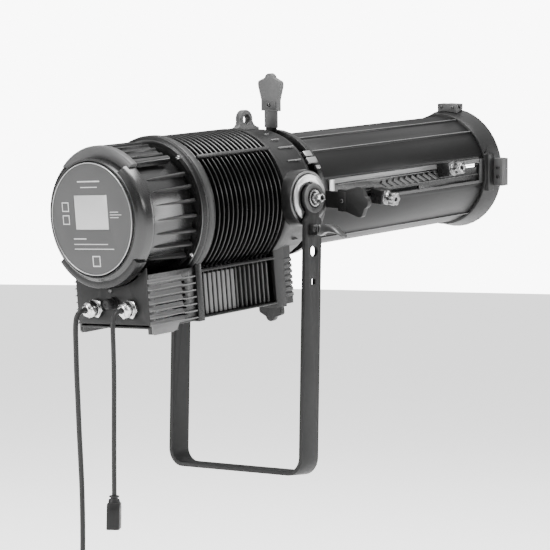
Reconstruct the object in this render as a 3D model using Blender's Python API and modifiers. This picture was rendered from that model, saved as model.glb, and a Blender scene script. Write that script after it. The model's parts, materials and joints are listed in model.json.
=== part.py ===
"""Ellipsoidal LED spotlight on a strap yoke, modelled as the pieces it comes apart into.

Lengths in this file are millimetres; every helper scales them to metres when it makes a mesh.
World frame: origin at the hanging-bolt hole on the underside of the yoke, +X the way the beam
points, +Z up, +Y to the left of somebody looking along the beam.
Head frame: origin on the optical axis above the trunnions, +X along the beam.
Barrel frame: the head frame turned about the beam by the barrel's rotation.
"""
import math

import bmesh
import bpy
from mathutils import Matrix, Vector

MM = 0.001
GAP = 0.3                  # air left between two touching pieces

# yoke
PIVOT_Z = 425.0            # trunnion axis above the underside of the yoke
YOKE_INNER = 133.5         # half the clear width between the arms
STRAP_T = 6.5
STRAP_W = 38.0
CORNER_R = 22.0            # inside bend
EYE_R = 21.0
CLAMP_Z = PIVOT_Z - 49.0   # tilt clamp on the near arm
ARM_OUT = YOKE_INNER + STRAP_T

# head
TILT_DEG = 7.5             # the beam is raised by this angle at rest
OPTIC_RISE = 3.0           # optical axis above the trunnion axis
COVER_R = 97.0
DRUM_R = 89.0
FLANGE_R = 111.5
FIN_R = 110.0
FIN_COUNT = 16
FIN_X0, FIN_X1 = -191.7, -30.3
HOUSING_R = 106.0
BOX_Y = 74.0               # half width of the driver case
BOX_LOW = -165.0
DISC_Y = 132.5             # face of the tilt disc
GLANDS = {                 # place across and up, tip along the beam
    "gland_mains": (31.0, -135.0, -336.0),
    "gland_link": (-40.5, -135.0, -332.0),
}
PANEL_X = -309.0

# barrel
BARREL_DEG = 4.5           # the barrel is turned by this angle at rest
TUBE_R = 91.5
TUBE_WALL = 3.0
TUBE_X0, TUBE_X1 = 79.3, 506.7
CHANNEL_X, CHANNEL_Z = (92.0, 504.0), (-17.0, 25.0)
GATE_X = 50.0              # plane of the first shutter blade
BLADE_T = 1.0
BLADE_PITCH = 4.0
COLLAR_GAP = (47.5, 65.0)   # the blades sit between these planes
LENSES = {                 # angle of the slot, rest place, ends of the slot
    "rear": (-6.0, 207.0, 108.0, 330.0),
    "front": (9.0, 385.0, 300.0, 490.0),
}

# cords
MAINS_D = 8.0
LINK_D = 7.3
COIL_D = 92.0              # across the middle of the turns


# ---------------------------------------------------------------- scene and materials
def clear_scene():
    for item in list(bpy.data.objects):
        bpy.data.objects.remove(item, do_unlink=True)


def collection(name):
    made = bpy.data.collections.new(name)
    bpy.context.scene.collection.children.link(made)
    return made


clear_scene()
PARTS = collection("ellipsoidal_spotlight")
TOOLS = collection("cutters")

FINISHES = {                # colour, roughness, metallic
    "satin_black": ((0.035, 0.035, 0.037), 0.45, 0.3),
    "heat_sink_black": ((0.02, 0.02, 0.021), 0.4, 0.6),
    "yoke_paint": ((0.05, 0.05, 0.052), 0.5, 0.3),
    "label_grey": ((0.22, 0.22, 0.22), 0.5, 0.0),
    "screen_glass": ((0.65, 0.66, 0.67), 0.1, 0.0),
    "board_green": ((0.03, 0.16, 0.08), 0.5, 0.0),
    "bright_steel": ((0.62, 0.62, 0.63), 0.25, 1.0),
    "dark_steel": ((0.12, 0.12, 0.12), 0.35, 0.9),
    "black_plastic": ((0.02, 0.02, 0.02), 0.4, 0.0),
    "black_rubber": ((0.02, 0.02, 0.02), 0.7, 0.0),
    "lens_glass": ((0.9, 0.95, 0.95), 0.03, 0.0),
    "led_yellow": ((0.85, 0.7, 0.15), 0.4, 0.0),
    "bare_aluminium": ((0.5, 0.5, 0.5), 0.35, 1.0),
    "mirror": ((0.85, 0.85, 0.85), 0.08, 1.0),
}
MATERIALS = {}


def finish(name):
    if name not in MATERIALS:
        colour, rough, metal = FINISHES[name]
        material = bpy.data.materials.new(name)
        material.use_nodes = True
        shader = material.node_tree.nodes["Principled BSDF"]
        shader.inputs["Base Color"].default_value = (*colour, 1.0)
        shader.inputs["Roughness"].default_value = rough
        shader.inputs["Metallic"].default_value = metal
        MATERIALS[name] = material
    return MATERIALS[name]


# ---------------------------------------------------------------- placing
def empty(name, at=(0, 0, 0), turn=(0, 0, 0), parent=None):
    made = bpy.data.objects.new(name, None)
    PARTS.objects.link(made)
    return place(made, at, turn, parent)


def place(item, at=(0, 0, 0), turn=(0, 0, 0), parent=None):
    item.location = Vector(at) * MM
    item.rotation_euler = [math.radians(a) for a in turn]
    item.parent = parent
    return item


def make(name, mesh, look, at=(0, 0, 0), turn=(0, 0, 0), parent=None, smooth=30.0):
    made = bpy.data.objects.new(name, mesh)
    PARTS.objects.link(made)
    mesh.materials.append(finish(look))
    mesh.shade_smooth()
    mesh.set_sharp_from_angle(angle=math.radians(smooth))
    return place(made, at, turn, parent)


def cutter(item):
    PARTS.objects.unlink(item)
    TOOLS.objects.link(item)
    item.hide_render = True
    item.display_type = "WIRE"
    return item


def combine(target, tool, operation="DIFFERENCE"):
    step = target.modifiers.new(operation.lower(), "BOOLEAN")
    step.operation = operation
    step.solver = "EXACT"
    step.object = cutter(tool)
    return target


def bevel(item, width, segments=1, angle=40.0):
    step = item.modifiers.new("edges", "BEVEL")
    step.width = width * MM
    step.segments = segments
    step.limit_method = "ANGLE"
    step.angle_limit = math.radians(angle)
    return item


# ---------------------------------------------------------------- shapes
def box(name, size, look, **where):
    mesh = bpy.data.meshes.new(name)
    form = bmesh.new()
    bmesh.ops.create_cube(form, size=1.0)
    bmesh.ops.scale(form, vec=Vector(size) * MM, verts=form.verts)
    form.to_mesh(mesh)
    form.free()
    return make(name, mesh, look, **where)


def block(name, low, high, look, **where):
    """A box from its lowest and highest corners in its parent's frame."""
    size = [b - a for a, b in zip(low, high)]
    middle = [(a + b) / 2 for a, b in zip(low, high)]
    return box(name, size, look, at=middle, **where)


AXIS_TURN = {"X": (0, 90, 0), "Y": (-90, 0, 0), "Z": (0, 0, 0)}


def rod(name, radius, low, high, look, axis="X", at=(0, 0, 0), parent=None, steps=24, tip=None):
    """A cylinder (or a cone, with tip as its far radius) along one axis."""
    mesh = bpy.data.meshes.new(name)
    form = bmesh.new()
    bmesh.ops.create_cone(form, cap_ends=True, segments=steps, radius1=radius * MM,
                          radius2=(radius if tip is None else tip) * MM, depth=(high - low) * MM,
                          matrix=Matrix.Translation((0, 0, (low + high) / 2 * MM)))
    form.to_mesh(mesh)
    form.free()
    return make(name, mesh, look, at=at, turn=AXIS_TURN[axis], parent=parent)


def turned(name, profile, look, axis="X", steps=36, ring=False, at=(0, 0, 0), parent=None):
    """A turned piece. The profile lists (place along the axis, radius)."""
    points = [(radius, along) for along, radius in profile]
    loop = points if ring else points + [(0, points[-1][1]), (0, points[0][1])]
    area = sum(p[0] * q[1] - q[0] * p[1] for p, q in zip(loop, loop[1:] + loop[:1]))
    if area > 0:                       # the outer side has to run from the far end back
        points.reverse()
    mesh = bpy.data.meshes.new(name)
    form = bmesh.new()
    verts = [form.verts.new((r * MM, 0, a * MM)) for r, a in points]
    for a, b in zip(verts, verts[1:] + (verts[:1] if ring else [])):
        form.edges.new((a, b))
    form.to_mesh(mesh)
    form.free()
    made = make(name, mesh, look, at=at, turn=AXIS_TURN[axis], parent=parent)
    step = made.modifiers.new("turn", "SCREW")
    step.angle = 2 * math.pi
    step.steps = step.render_steps = steps
    step.use_merge_vertices = True
    step.merge_threshold = 0.00001
    step.use_smooth_shade = True
    return made


def arc(centre, radius, start, end, count):
    """Points of an arc from one angle to another, in degrees."""
    angles = [math.radians(start + (end - start) * i / count) for i in range(count + 1)]
    return [(centre[0] + radius * math.cos(a), centre[1] + radius * math.sin(a)) for a in angles]


def sheet(name, outlines, thickness, look, at=(0, 0, 0), turn=(0, 0, 0), parent=None):
    """A flat outline, with its holes, given a thickness about its own plane."""
    curve = bpy.data.curves.new(name, "CURVE")
    curve.dimensions = "2D"
    curve.fill_mode = "BOTH"
    curve.extrude = thickness / 2 * MM
    for outline in outlines:
        spline = curve.splines.new("POLY")
        spline.points.add(len(outline) - 1)
        for point, (u, v) in zip(spline.points, outline):
            point.co = (u * MM, v * MM, 0, 1)
        spline.use_cyclic_u = True
    return solid_from(curve, name, look, at, turn, parent)


def tube(name, route, diameter, look, parent=None, sides=3, step=1.5):
    """A cord: a bevelled POLY curve read from a smooth curve through the route's points."""
    curve = bpy.data.curves.new(name, "CURVE")
    curve.dimensions = "3D"
    curve.bevel_depth = diameter / 2 * MM
    curve.bevel_resolution = sides
    curve.use_fill_caps = True
    path = [Vector(route[0])] + smooth_path(route[1:], step * diameter)
    spline = curve.splines.new("POLY")
    spline.points.add(len(path) - 1)
    for point, place_ in zip(spline.points, path):
        point.co = (*(place_ * MM), 1)
    return solid_from(curve, name, look, (0, 0, 0), (0, 0, 0), parent)


def solid_from(curve, name, look, at, turn, parent):
    """A closed mesh of a curve object, with its caps welded."""
    maker = bpy.data.objects.new(name, curve)
    PARTS.objects.link(maker)
    graph = bpy.context.evaluated_depsgraph_get()
    mesh = bpy.data.meshes.new_from_object(maker.evaluated_get(graph))
    bpy.data.objects.remove(maker, do_unlink=True)
    bpy.data.curves.remove(curve)
    form = bmesh.new()
    form.from_mesh(mesh)
    bmesh.ops.remove_doubles(form, verts=form.verts, dist=0.000005)
    bmesh.ops.recalc_face_normals(form, faces=form.faces)
    form.to_mesh(mesh)
    form.free()
    mesh.materials.clear()
    return make(name, mesh, look, at=at, turn=turn, parent=parent)


def smooth_path(route, spacing):
    """Points about one spacing apart on a smooth curve through the route."""
    knots = [Vector(p) for p in route]
    ends = [2 * knots[0] - knots[1]] + knots + [2 * knots[-1] - knots[-2]]
    fine = []
    for a, b, c, d in zip(ends, ends[1:], ends[2:], ends[3:]):
        for i in range(24):
            t = i / 24
            fine.append(0.5 * (2 * b + (c - a) * t + (2 * a - 5 * b + 4 * c - d) * t * t
                               + (3 * b - a - 3 * c + d) * t ** 3))
    fine.append(knots[-1])
    length = sum((q - p).length for p, q in zip(fine, fine[1:]))
    count = max(2, round(length / spacing))
    picked, run, mark = [fine[0]], 0.0, 1
    for p, q in zip(fine, fine[1:]):
        run += (q - p).length
        while mark < count and run >= mark * length / count:
            picked.append(q)
            mark += 1
    return picked + [fine[-1]]


FACE_Y = (90, 0, 0)        # a sheet's outline read as X and Z
FACE_X = (90, 0, 90)       # a sheet's outline read as Y and Z
FACE_Z = (0, 0, 0)         # a sheet's outline read as X and Y


# ---------------------------------------------------------------- yoke
def yoke_strap():
    corner = ARM_OUT - STRAP_T - CORNER_R
    top = PIVOT_Z + EYE_R + 20
    outer = CORNER_R + STRAP_T
    outline = [(-ARM_OUT, top)] + arc((-corner, outer), outer, 180, 270, 8)
    outline += arc((corner, outer), outer, 270, 360, 8) + [(ARM_OUT, top), (YOKE_INNER, top)]
    outline += arc((corner, outer), CORNER_R, 360, 270, 8)
    outline += arc((-corner, outer), CORNER_R, 270, 180, 8) + [(-YOKE_INNER, top)]
    strap = sheet("yoke", [outline], STRAP_W + 6, "yoke_paint", turn=FACE_X)

    half, shoulder, neck = STRAP_W / 2, PIVOT_Z - 35, 12.0
    side = [(-half, -10), (half, -10), (half, shoulder), (neck, PIVOT_Z - 27)]
    side += arc((0, PIVOT_Z), EYE_R, -52, 232, 22)
    side += [(-neck, PIVOT_Z - 27), (-half, shoulder)]
    combine(strap, sheet("yoke_side", [side], 2 * ARM_OUT + 20, "yoke_paint", turn=FACE_Y), "INTERSECT")

    reach = ARM_OUT + 10
    combine(strap, rod("bore_trunnion", 5.4, -reach, reach, "yoke_paint", "Y", (0, 0, PIVOT_Z)))
    combine(strap, rod("bore_arm", 8.6, -reach, reach, "yoke_paint", "Y", (2, 0, PIVOT_Z - 81)))
    combine(strap, rod("bore_clamp", 4.3, -reach, 0, "yoke_paint", "Y", (-2, 0, CLAMP_Z), steps=16))
    combine(strap, box("square_arm", (8.6, 2 * reach, 8.6), "yoke_paint", at=(2, 0, PIVOT_Z - 127.5)))
    combine(strap, rod("bore_hang", 6.5, -5, 20, "yoke_paint", "Z"))


def trunnion_bolts():
    """A shoulder bolt with its cup washer on each side, through the eye into the housing's boss."""
    seat = ARM_OUT + GAP
    for side, name in ((-1, "near"), (1, "far")):
        profile = [(108, 0), (108, 5.0), (seat, 5.0), (seat, 12.5), (seat + 3, 12.5), (seat + 3, 6.6),
                   (seat + 16, 6.6), (seat + 16, 3.6), (seat + 10, 3.6), (seat + 10, 0)]
        turned("trunnion_bolt_" + name, [(side * a, r) for a, r in profile], "dark_steel", "Y", 18,
               at=(0, 0, PIVOT_Z))


def tilt_clamp():
    """A cam lever on a clevis that pinches the near arm against the housing's boss."""
    seat = -ARM_OUT - GAP
    clevis = block("clamp_clevis", (-12, seat - 18, CLAMP_Z - 8), (8, seat, CLAMP_Z + 8), "dark_steel")
    combine(clevis, block("clevis_slot", (-9.3, seat - 30, CLAMP_Z - 20), (5.3, seat - 4, CLAMP_Z + 20),
                          "dark_steel"))
    pin_y = seat - 13
    combine(clevis, rod("clevis_bore", 2.8, -20, 16, "dark_steel", "X", (0, pin_y, CLAMP_Z), steps=12))
    combine(clevis, rod("clevis_stem", 4.0, seat - 2, -124, "dark_steel", "Y", (-2, 0, CLAMP_Z), steps=16),
            "UNION")

    hinge = empty("cam_lever_hinge", (-2, pin_y, CLAMP_Z))
    cam = arc((0, 0), 8.6, 110, -150, 14)
    lower = [(-14, -0.3), (-24, -0.2), (-34, -2.6), (-42, -6.2), (-47, -10.6)]
    upper = [(-48.5, -8.0), (-43.5, -2.0), (-35, 2.2), (-24, 6.2), (-12, 7.6)]
    lever = sheet("cam_lever", [cam + lower + upper], 13.4, "satin_black", turn=FACE_X, parent=hinge)
    combine(lever, rod("cam_pin", 2.5, -9.5, 9.5, "satin_black", parent=hinge, steps=12), "UNION")


# ---------------------------------------------------------------- frames of the moving bodies
HEAD = empty("tilt_axis", (0, 0, PIVOT_Z), (0, -TILT_DEG, 0))
OPTIC = empty("optic_axis", (0, 0, OPTIC_RISE), parent=HEAD)
BARREL = empty("barrel_axis", (0, 0, 0), (BARREL_DEG, 0, 0), OPTIC)


# ---------------------------------------------------------------- rear of the head
def rear_cover():
    """Cup behind the drum, with its top cut back for the raised block."""
    cover = turned("rear_cover", [(-333, 62), (-333, 95.5), (-331.5, COVER_R), (-306, COVER_R),
                                  (-306, 93.5), (-329, 93.5), (-329, 62)],
                   "satin_black", ring=True, steps=44, parent=OPTIC)
    wedge = [(0, 0)] + arc((0, 0), 140, 52, 128, 6)
    hole = arc((0, 0), 87.5, 48, 132, 14)
    combine(cover, sheet("cover_notch", [wedge[1:] + list(reversed(hole))], 34, "satin_black",
                         at=(-323, 0, 0), turn=FACE_X, parent=OPTIC))
    outline = [(-83, -62)] + arc((0, 0), 103.5, 217, 323, 18) + [(83, -62)] + arc((0, 0), 95, 320, 220, 18)
    hood = sheet("cover_hood", [outline], 20, "satin_black", at=(-321, 0, 0), turn=FACE_X, parent=OPTIC)
    combine(cover, hood, "UNION")


def label_plate():
    """Round label plate with the window of the screen."""
    plate = turned("label_plate", [(-338, 0), (-338, 81.7), (-337.3, 82.5), (-333.3, 82.5), (-333.3, 0)],
                   "label_grey", steps=44, parent=OPTIC)
    combine(plate, block("screen_window", (-345, -34.4, -15.9), (-330, 34.4, 35.4), "label_grey", parent=OPTIC))
    block("touch_screen", (-337.6, -34, -15.5), (-334, 34, 35), "screen_glass", parent=OPTIC)
    block("display_board", (-331.5, -45, -25), (-329.6, 45, 42), "board_green", parent=OPTIC)


def top_block():
    """Raised block over the drum, the crescent behind and long ribs on top."""
    outer = []
    for i in range(9):
        a = 124 - i * 8.5
        width = 1.6
        outer += [polar(102.5, a + width), polar(105.5, a + width - 0.7), polar(105.5, a - width + 0.7),
                  polar(102.5, a - width)]
    inner = arc((0, 0), DRUM_R + GAP, 54, 126, 16)
    sheet("top_block", [outer + inner], 76, "satin_black", at=(-278.5, 0, 0), turn=FACE_X, parent=OPTIC)


def polar(radius, degrees):
    a = math.radians(degrees)
    return (radius * math.cos(a), radius * math.sin(a))


def drum():
    """Ribbed drum: seven ribs on each flank, pointed at their rear ends."""
    angles = [-45.0, -31.5, -18.2, -4.5, 9.5, 22.5, 35.5]
    marks = sorted([180 - a for a in angles] + [a % 360 for a in angles])
    outline = []
    for a, following in zip(marks, marks[1:] + [marks[0] + 360]):
        outline += [polar(DRUM_R, a - 1.1), polar(97, a - 0.6), polar(97, a + 0.6), polar(DRUM_R, a + 1.1)]
        outline += between(DRUM_R, a, following)
    hole = arc((0, 0), DRUM_R - 4, 0, 352.5, 47)
    body = sheet("ribbed_drum", [outline, hole], 92, "satin_black", at=(-259.5, 0, 0), turn=FACE_X,
                 parent=OPTIC)
    combine(body, turned("rib_ends", [(-320, DRUM_R + 0.4), (-289, DRUM_R + 0.4), (-272, 99), (-272, 120),
                                      (-320, 120)], "satin_black", ring=True, parent=OPTIC))
    turned("rear_flange", [(-213, 78), (-213, 107), (-210.5, FLANGE_R), (-193.5, FLANGE_R), (-192, 110),
                           (-192, 78)], "satin_black", ring=True, steps=44, parent=OPTIC)


def between(radius, start, end):
    """Points of a round surface between two ribs, about seven degrees apart."""
    count = max(1, round((end - start) / 7))
    return [polar(radius, start + (end - start) * k / count) for k in range(1, count)]


def fan():
    """Axial fan in the drum."""
    frame = box("fan_frame", (25, 112, 112), "black_plastic", at=(-227, 0, 0), parent=OPTIC)
    combine(frame, rod("fan_duct", 53, -245, -210, "black_plastic", parent=OPTIC, steps=36))
    for turn in (45, 135):
        spar = box("fan_spar", (4, 118, 9), "black_plastic", at=(-217, 0, 0), turn=(turn, 0, 0), parent=OPTIC)
        combine(frame, spar, "UNION")
    axle = rod("fan_axle", 3, -234, -217, "black_plastic", parent=OPTIC, steps=16)
    combine(frame, axle, "UNION")
    hub_axis = empty("fan_axis", (-227, 0, 0), parent=OPTIC)
    rotor = turned("fan_rotor", [(-11, 3.4), (-11, 22), (6, 22), (6, 3.4)], "black_plastic", ring=True,
                   steps=28, parent=hub_axis)
    for i in range(5):
        spoke = empty("fan_spoke_%d" % (i + 1), turn=(72 * i, 0, 0), parent=hub_axis)
        blade = box("fan_blade", (1.8, 30, 18), "black_plastic", at=(-2.5, 35.5, 0), turn=(0, 32, 0),
                    parent=spoke)
        combine(rotor, blade, "UNION")


# ---------------------------------------------------------------- heat sink and light engine
def heat_sink():
    """Round fins on a hollow core, closed by the plate that carries the light engine."""
    pitch = (FIN_X1 - FIN_X0) / FIN_COUNT
    profile = [(FIN_X1 - 9, 0), (FIN_X1 - 9, 52), (FIN_X0, 52)]
    for i in range(FIN_COUNT):
        x = FIN_X0 + i * pitch
        profile += [(x, 62 if i else 52), (x, FIN_R), (x + 2.4, FIN_R), (x + 2.4, 62)]
    profile.remove((FIN_X0, 52))
    profile += [(FIN_X1 - 5, 62), (FIN_X1 - 5, 98), (FIN_X1, 98), (FIN_X1, 0)]
    turned("heat_sink", profile, "heat_sink_black", steps=28, parent=OPTIC)
    for side, name in ((-1, "near"), (1, "far")):
        y, z = side * FIN_R * math.cos(math.radians(43.5)), FIN_R * math.sin(math.radians(43.5))
        out = (FIN_R + 2.6) / FIN_R
        box("tie_bar_" + name, (161, 5, 4), "satin_black", at=(-111, y * out, z * out),
            turn=(-side * 46.5, 0, 0), parent=OPTIC)


def lower_fins():
    """Rectangular lower halves of the fins, joined by a spine, in the window of the lower frame."""
    pitch = (FIN_X1 - FIN_X0) / FIN_COUNT
    spine, deep = 10.0, 66.0
    near, far = [], []
    for i in range(FIN_COUNT):
        x = FIN_X0 + 1.5 + i * pitch
        near += [(x, -spine), (x, -deep), (x + 2.2, -deep), (x + 2.2, -spine)]
        far += [(x, spine), (x, deep), (x + 2.2, deep), (x + 2.2, spine)]
    comb = sheet("lower_fins", [near + list(reversed(far))], 100, "heat_sink_black", at=(0, 0, -122),
                 turn=FACE_Z, parent=OPTIC)
    combine(comb, sheet("fin_section", [saddle(70, -159.3, FIN_R + 0.7)], 200, "heat_sink_black",
                        at=(-110, 0, 0), turn=FACE_X, parent=OPTIC), "INTERSECT")
    frame = sheet("lower_frame", [saddle(BOX_Y + 4, BOX_LOW - 1.5, 112.5)], 12.6, "satin_black",
                  at=(-201.9, 0, 0), turn=FACE_X, parent=OPTIC)
    combine(frame, block("lower_plate", (-199, -76, -163), (-28.8, 76, -159.6), "satin_black", parent=OPTIC),
            "UNION")
    for side in (-1, 1):
        low, high = sorted((side * 71, side * 76))
        combine(frame, block("top_rail", (-199, low, -94), (-28.8, high, -89.5), "satin_black",
                             parent=OPTIC), "UNION")


def saddle(half, low, radius):
    """Outline of the lower case's section: flat sides and bottom, a hollow round top."""
    a = math.degrees(math.asin(half / radius))
    return [(-half, low), (half, low)] + arc((0, 0), radius, -90 + a, -90 - a, 14)


def light_engine():
    turned("led_board", [(-30, 0), (-30, 46), (-27.4, 46), (-27.4, 0)], "board_green", steps=36, parent=OPTIC)
    turned("led_array", [(-27.1, 0), (-27.1, 15), (-25.2, 15), (-25.2, 0)], "led_yellow", steps=24, parent=OPTIC)
    bowl = [(-24.6, 17), (-14, 27), (0, 36), (18, 44), (30, 48)]
    outer = [(a, r + 2) for a, r in reversed(bowl)]
    turned("collimator", bowl + outer, "mirror", ring=True, steps=24, parent=OPTIC)
    turned("gate_plate", [(40.2, 36), (40.2, 101.6), (43, 101.6), (43, 36)], "dark_steel", ring=True,
           steps=48, parent=OPTIC)


# ---------------------------------------------------------------- front casting
def front_housing():
    """Shutter housing casting with trunnion bosses and a block below."""
    shell = turned("front_housing", [(-29.9, 100), (-29.9, 109.5), (-20, 109.5), (-2, HOUSING_R),
                                     (38, HOUSING_R - 2), (43, HOUSING_R - 5), (43, 100)],
                   "satin_black", ring=True, steps=44, parent=OPTIC)
    for side in (-1, 1):
        low, high = sorted((side * 96, side * 128))
        combine(shell, rod("boss", 43, low, high, "satin_black", "Y", (0, 0, -OPTIC_RISE), OPTIC, 40), "UNION")
    combine(shell, block("foot_block", (-28.5, -BOX_Y, -170), (-5, BOX_Y, -60), "satin_black", parent=OPTIC),
            "UNION")
    combine(shell, block("rib_block", (-12, -BOX_Y + 3, -167), (14, BOX_Y - 3, -60), "satin_black",
                         parent=OPTIC), "UNION")
    combine(shell, rod("housing_bore", 102, -60, 60, "satin_black", parent=OPTIC, steps=44))
    combine(shell, rod("fin_clearance", FIN_R + 0.6, -200, -30.2, "satin_black", parent=OPTIC, steps=44))
    combine(shell, block("block_hollow", (-40, -BOX_Y + 6, -163), (9, BOX_Y - 6, -40), "satin_black",
                         parent=OPTIC))
    reach = 140
    combine(shell, rod("trunnion_bore", 5.4, -reach, reach, "satin_black", "Y", (0, 0, -OPTIC_RISE), OPTIC))
    for i, z in enumerate(range(-148, -94, 9)):
        low, high = (11.8, 20)
        combine(shell, block("rib_slot", (low, -BOX_Y - 5, z), (high, BOX_Y + 5, z + 3.6), "satin_black",
                             parent=OPTIC))

    eyelet = [(-17, 109.4), (-2, 106.5), (33, 104.7), (33, 110), (23, 116)]
    eyelet += arc((9, 123), 13, -10, 190, 12) + [(-6, 115), (-17, 113)]
    hole = arc((9, 121), 7, 0, 337.5, 15)
    sheet("safety_eyelet", [eyelet, hole], 12, "satin_black", turn=FACE_Y, parent=OPTIC)


def tilt_discs():
    """C-shaped friction discs on the bosses, open where the yoke's arm passes."""
    for side, name in ((-1, "near"), (1, "far")):
        outline = arc((0, 0), 36.5, -10, 232, 28) + arc((0, 0), 24.5, 232, -10, 24)
        sheet("tilt_disc_" + name, [outline], DISC_Y - 128 - GAP, "bare_aluminium",
              at=(0, side * (DISC_Y + 128 + GAP) / 2, -OPTIC_RISE), turn=FACE_Y, parent=OPTIC)


# ---------------------------------------------------------------- lower case
def driver_case():
    """Louvred case of the driver, its rear panel and the flange in front of it."""
    outer = saddle(BOX_Y, BOX_LOW, 112.5)
    inner = saddle(BOX_Y - 3, BOX_LOW + 3, 116.0)
    case = sheet("driver_case", [outer, inner], 97.4, "satin_black", at=(-257.3, 0, 0), turn=FACE_X,
                 parent=OPTIC)
    for z in [-151 + 9.4 * i for i in range(6)]:
        slot = box("louvre_slot", (64, 2 * BOX_Y + 20, 3.4), "satin_black", at=(-262, 0, z), parent=OPTIC)
        combine(case, slot)
    for side in (-1, 1):
        low, high = sorted((side * (BOX_Y - 9), side * BOX_Y))
        foot = block("foot", (-305, low, -173), (-250, high, BOX_LOW + 1.5), "satin_black", parent=OPTIC)
        combine(case, foot, "UNION")
    panel_outline = saddle(BOX_Y, BOX_LOW + 6, 105.0)
    panel = sheet("rear_panel", [panel_outline], 2.5, "satin_black", at=(-307.7, 0, 0), turn=FACE_X,
                  parent=OPTIC)
    for y, z, tip in GLANDS.values():
        combine(panel, rod("gland_hole", 10.4, -320, -300, "satin_black", "X", (0, y, z), OPTIC, 20))
    combine(panel, rod("fuse_hole", 6.4, -320, -300, "satin_black", "X", (0, -5, -127), OPTIC, 16))
    block("driver_unit", (-298, -60, -158), (-216, 60, -136), "bare_aluminium", parent=OPTIC)


def cable_glands():
    for name, (y, z, tip) in GLANDS.items():
        bore = (MAINS_D if name == "gland_mains" else LINK_D) / 2 + GAP
        turned(name, [(-304, bore), (-304, 10.0), (PANEL_X - GAP, 10.0), (PANEL_X - GAP, 13.2), (-315, 13.2),
                      (-316, 11.6), (-319, 11.6), (-320, 12.4), (tip + 9, 12.4), (tip + 3, 9.2),
                      (tip, 7.4), (tip, bore)], "bright_steel", steps=18, ring=True, at=(0, y, z),
               parent=OPTIC)
    at = (0, -5, -127)
    turned("fuse_holder", [(-300, 0), (-300, 6), (PANEL_X - GAP, 6), (PANEL_X - GAP, 9.0), (-317, 9.0),
                           (-317, 0)], "black_plastic", steps=20, at=at, parent=OPTIC)
    turned("fuse_cap", [(-317.4, 0), (-317.4, 7.8), (-326.5, 7.4), (-328, 6.2), (-328, 0)], "black_plastic",
           steps=20, at=at, parent=OPTIC)


# ---------------------------------------------------------------- barrel
def shutter_collar():
    """Turning collar at the front of the housing: two rings on posts, the blades between them."""
    collar = turned("shutter_collar", [(43.4, 60), (43.4, 100.5), (COLLAR_GAP[0], 100.5), (COLLAR_GAP[0], 60)],
                    "satin_black", ring=True, steps=44, parent=BARREL)
    front = COLLAR_GAP[1]
    combine(collar, turned("collar_front", [(front, 60), (front, 101), (76, 101), (79, 97), (79, 92),
                                            (front + 4, 92), (front + 4, 60)], "satin_black", ring=True,
                           steps=44, parent=BARREL), "UNION")
    for a in (45, 135, 225, 315):
        y, z = polar(95, a)
        combine(collar, rod("collar_post", 3.0, 45, front + 2, "satin_black", "X", (0, y, z), BARREL, 12),
                "UNION")


def shutters():
    """Four blades, each with a strap handle and a lobed grip, stacked behind the gate."""
    places = {"top": (90, 190.5, 3), "near": (180, 205.0, 1), "bottom": (270, 205.0, 2), "far": (0, 203.0, 0)}
    for name, (angle, reach, layer) in places.items():
        x = GATE_X + layer * BLADE_PITCH + BLADE_T / 2
        frame = empty("shutter_%s_slide" % name, (x, 0, 0), (angle - 90, 0, 0), BARREL)
        tip = reach - 60
        outline = [(-44, tip - 96), (44, tip - 96), (44, tip - 62), (11.5, tip - 50), (11.5, tip + 20),
                   (-11.5, tip + 20), (-11.5, tip - 50), (-44, tip - 62)]
        sheet("shutter_" + name, [outline], BLADE_T, "dark_steel", turn=FACE_X, parent=frame)
        grip(name, tip, frame)


def grip(name, base, frame):
    """Lobed plastic grip and its sleeve over the end of the strap."""
    lobes = [(-17, 0), (-17, 17), (-19, 24), (-23, 38)] + arc((-18, 43), 5.5, 190, 95, 4)
    lobes += arc((0, 50), 9.5, 165, 15, 8) + arc((18, 43), 5.5, 85, -10, 4)
    lobes += [(23, 38), (19, 24), (17, 17), (17, 0)]
    handle = sheet("grip_" + name, [[(u, v + base + 0.4) for u, v in lobes]], 9, "black_plastic",
                   turn=FACE_X, parent=frame)
    combine(handle, block("grip_sleeve", (-1.7, -13, base - 26), (1.7, 13, base + 6), "black_plastic",
                          parent=frame), "UNION")
    combine(handle, block("grip_slot", (-0.8, -11.8, base - 30), (0.8, 11.8, base + 21), "black_plastic",
                          parent=frame))


def lens_tube():
    """Extruded tube with raised ribs and the recessed channel for the lens knobs."""
    marks = sorted([180 - 69, 180 - 47, 180 + 51, 69, 47, 360 - 51])
    outline = []
    for a, following in zip(marks, marks[1:] + [marks[0] + 360]):
        outline += [polar(TUBE_R, a - 1.6), polar(TUBE_R + 2, a - 1.0), polar(TUBE_R + 2, a + 1.0),
                    polar(TUBE_R, a + 1.6)]
        outline += between(TUBE_R, a, following)
    hole = arc((0, 0), TUBE_R - TUBE_WALL, 0, 352.5, 47)
    shell = sheet("lens_tube", [outline, hole], TUBE_X1 - TUBE_X0, "satin_black",
                  at=((TUBE_X0 + TUBE_X1) / 2, 0, 0), turn=FACE_X, parent=BARREL)
    low, high = CHANNEL_Z
    combine(shell, block("channel", (CHANNEL_X[0], -TUBE_R - 10, low), (CHANNEL_X[1], -60, high),
                         "satin_black", parent=BARREL))


def slide_plate():
    """Floor of the channel, with a long slot for each lens's stem."""
    (x0, x1), (low, high) = CHANNEL_X, CHANNEL_Z
    plate = block("slide_plate", (x0 + GAP, -88.0, low + GAP), (x1 - GAP, -83.5, high - GAP), "dark_steel",
                  parent=BARREL)
    for angle, x, start, end in LENSES.values():
        z = 85.7 * math.tan(math.radians(angle))
        combine(plate, block("slide_slot", (start, -95, z - 2.8), (end, -80, z + 2.8), "dark_steel",
                             parent=BARREL))


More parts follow.
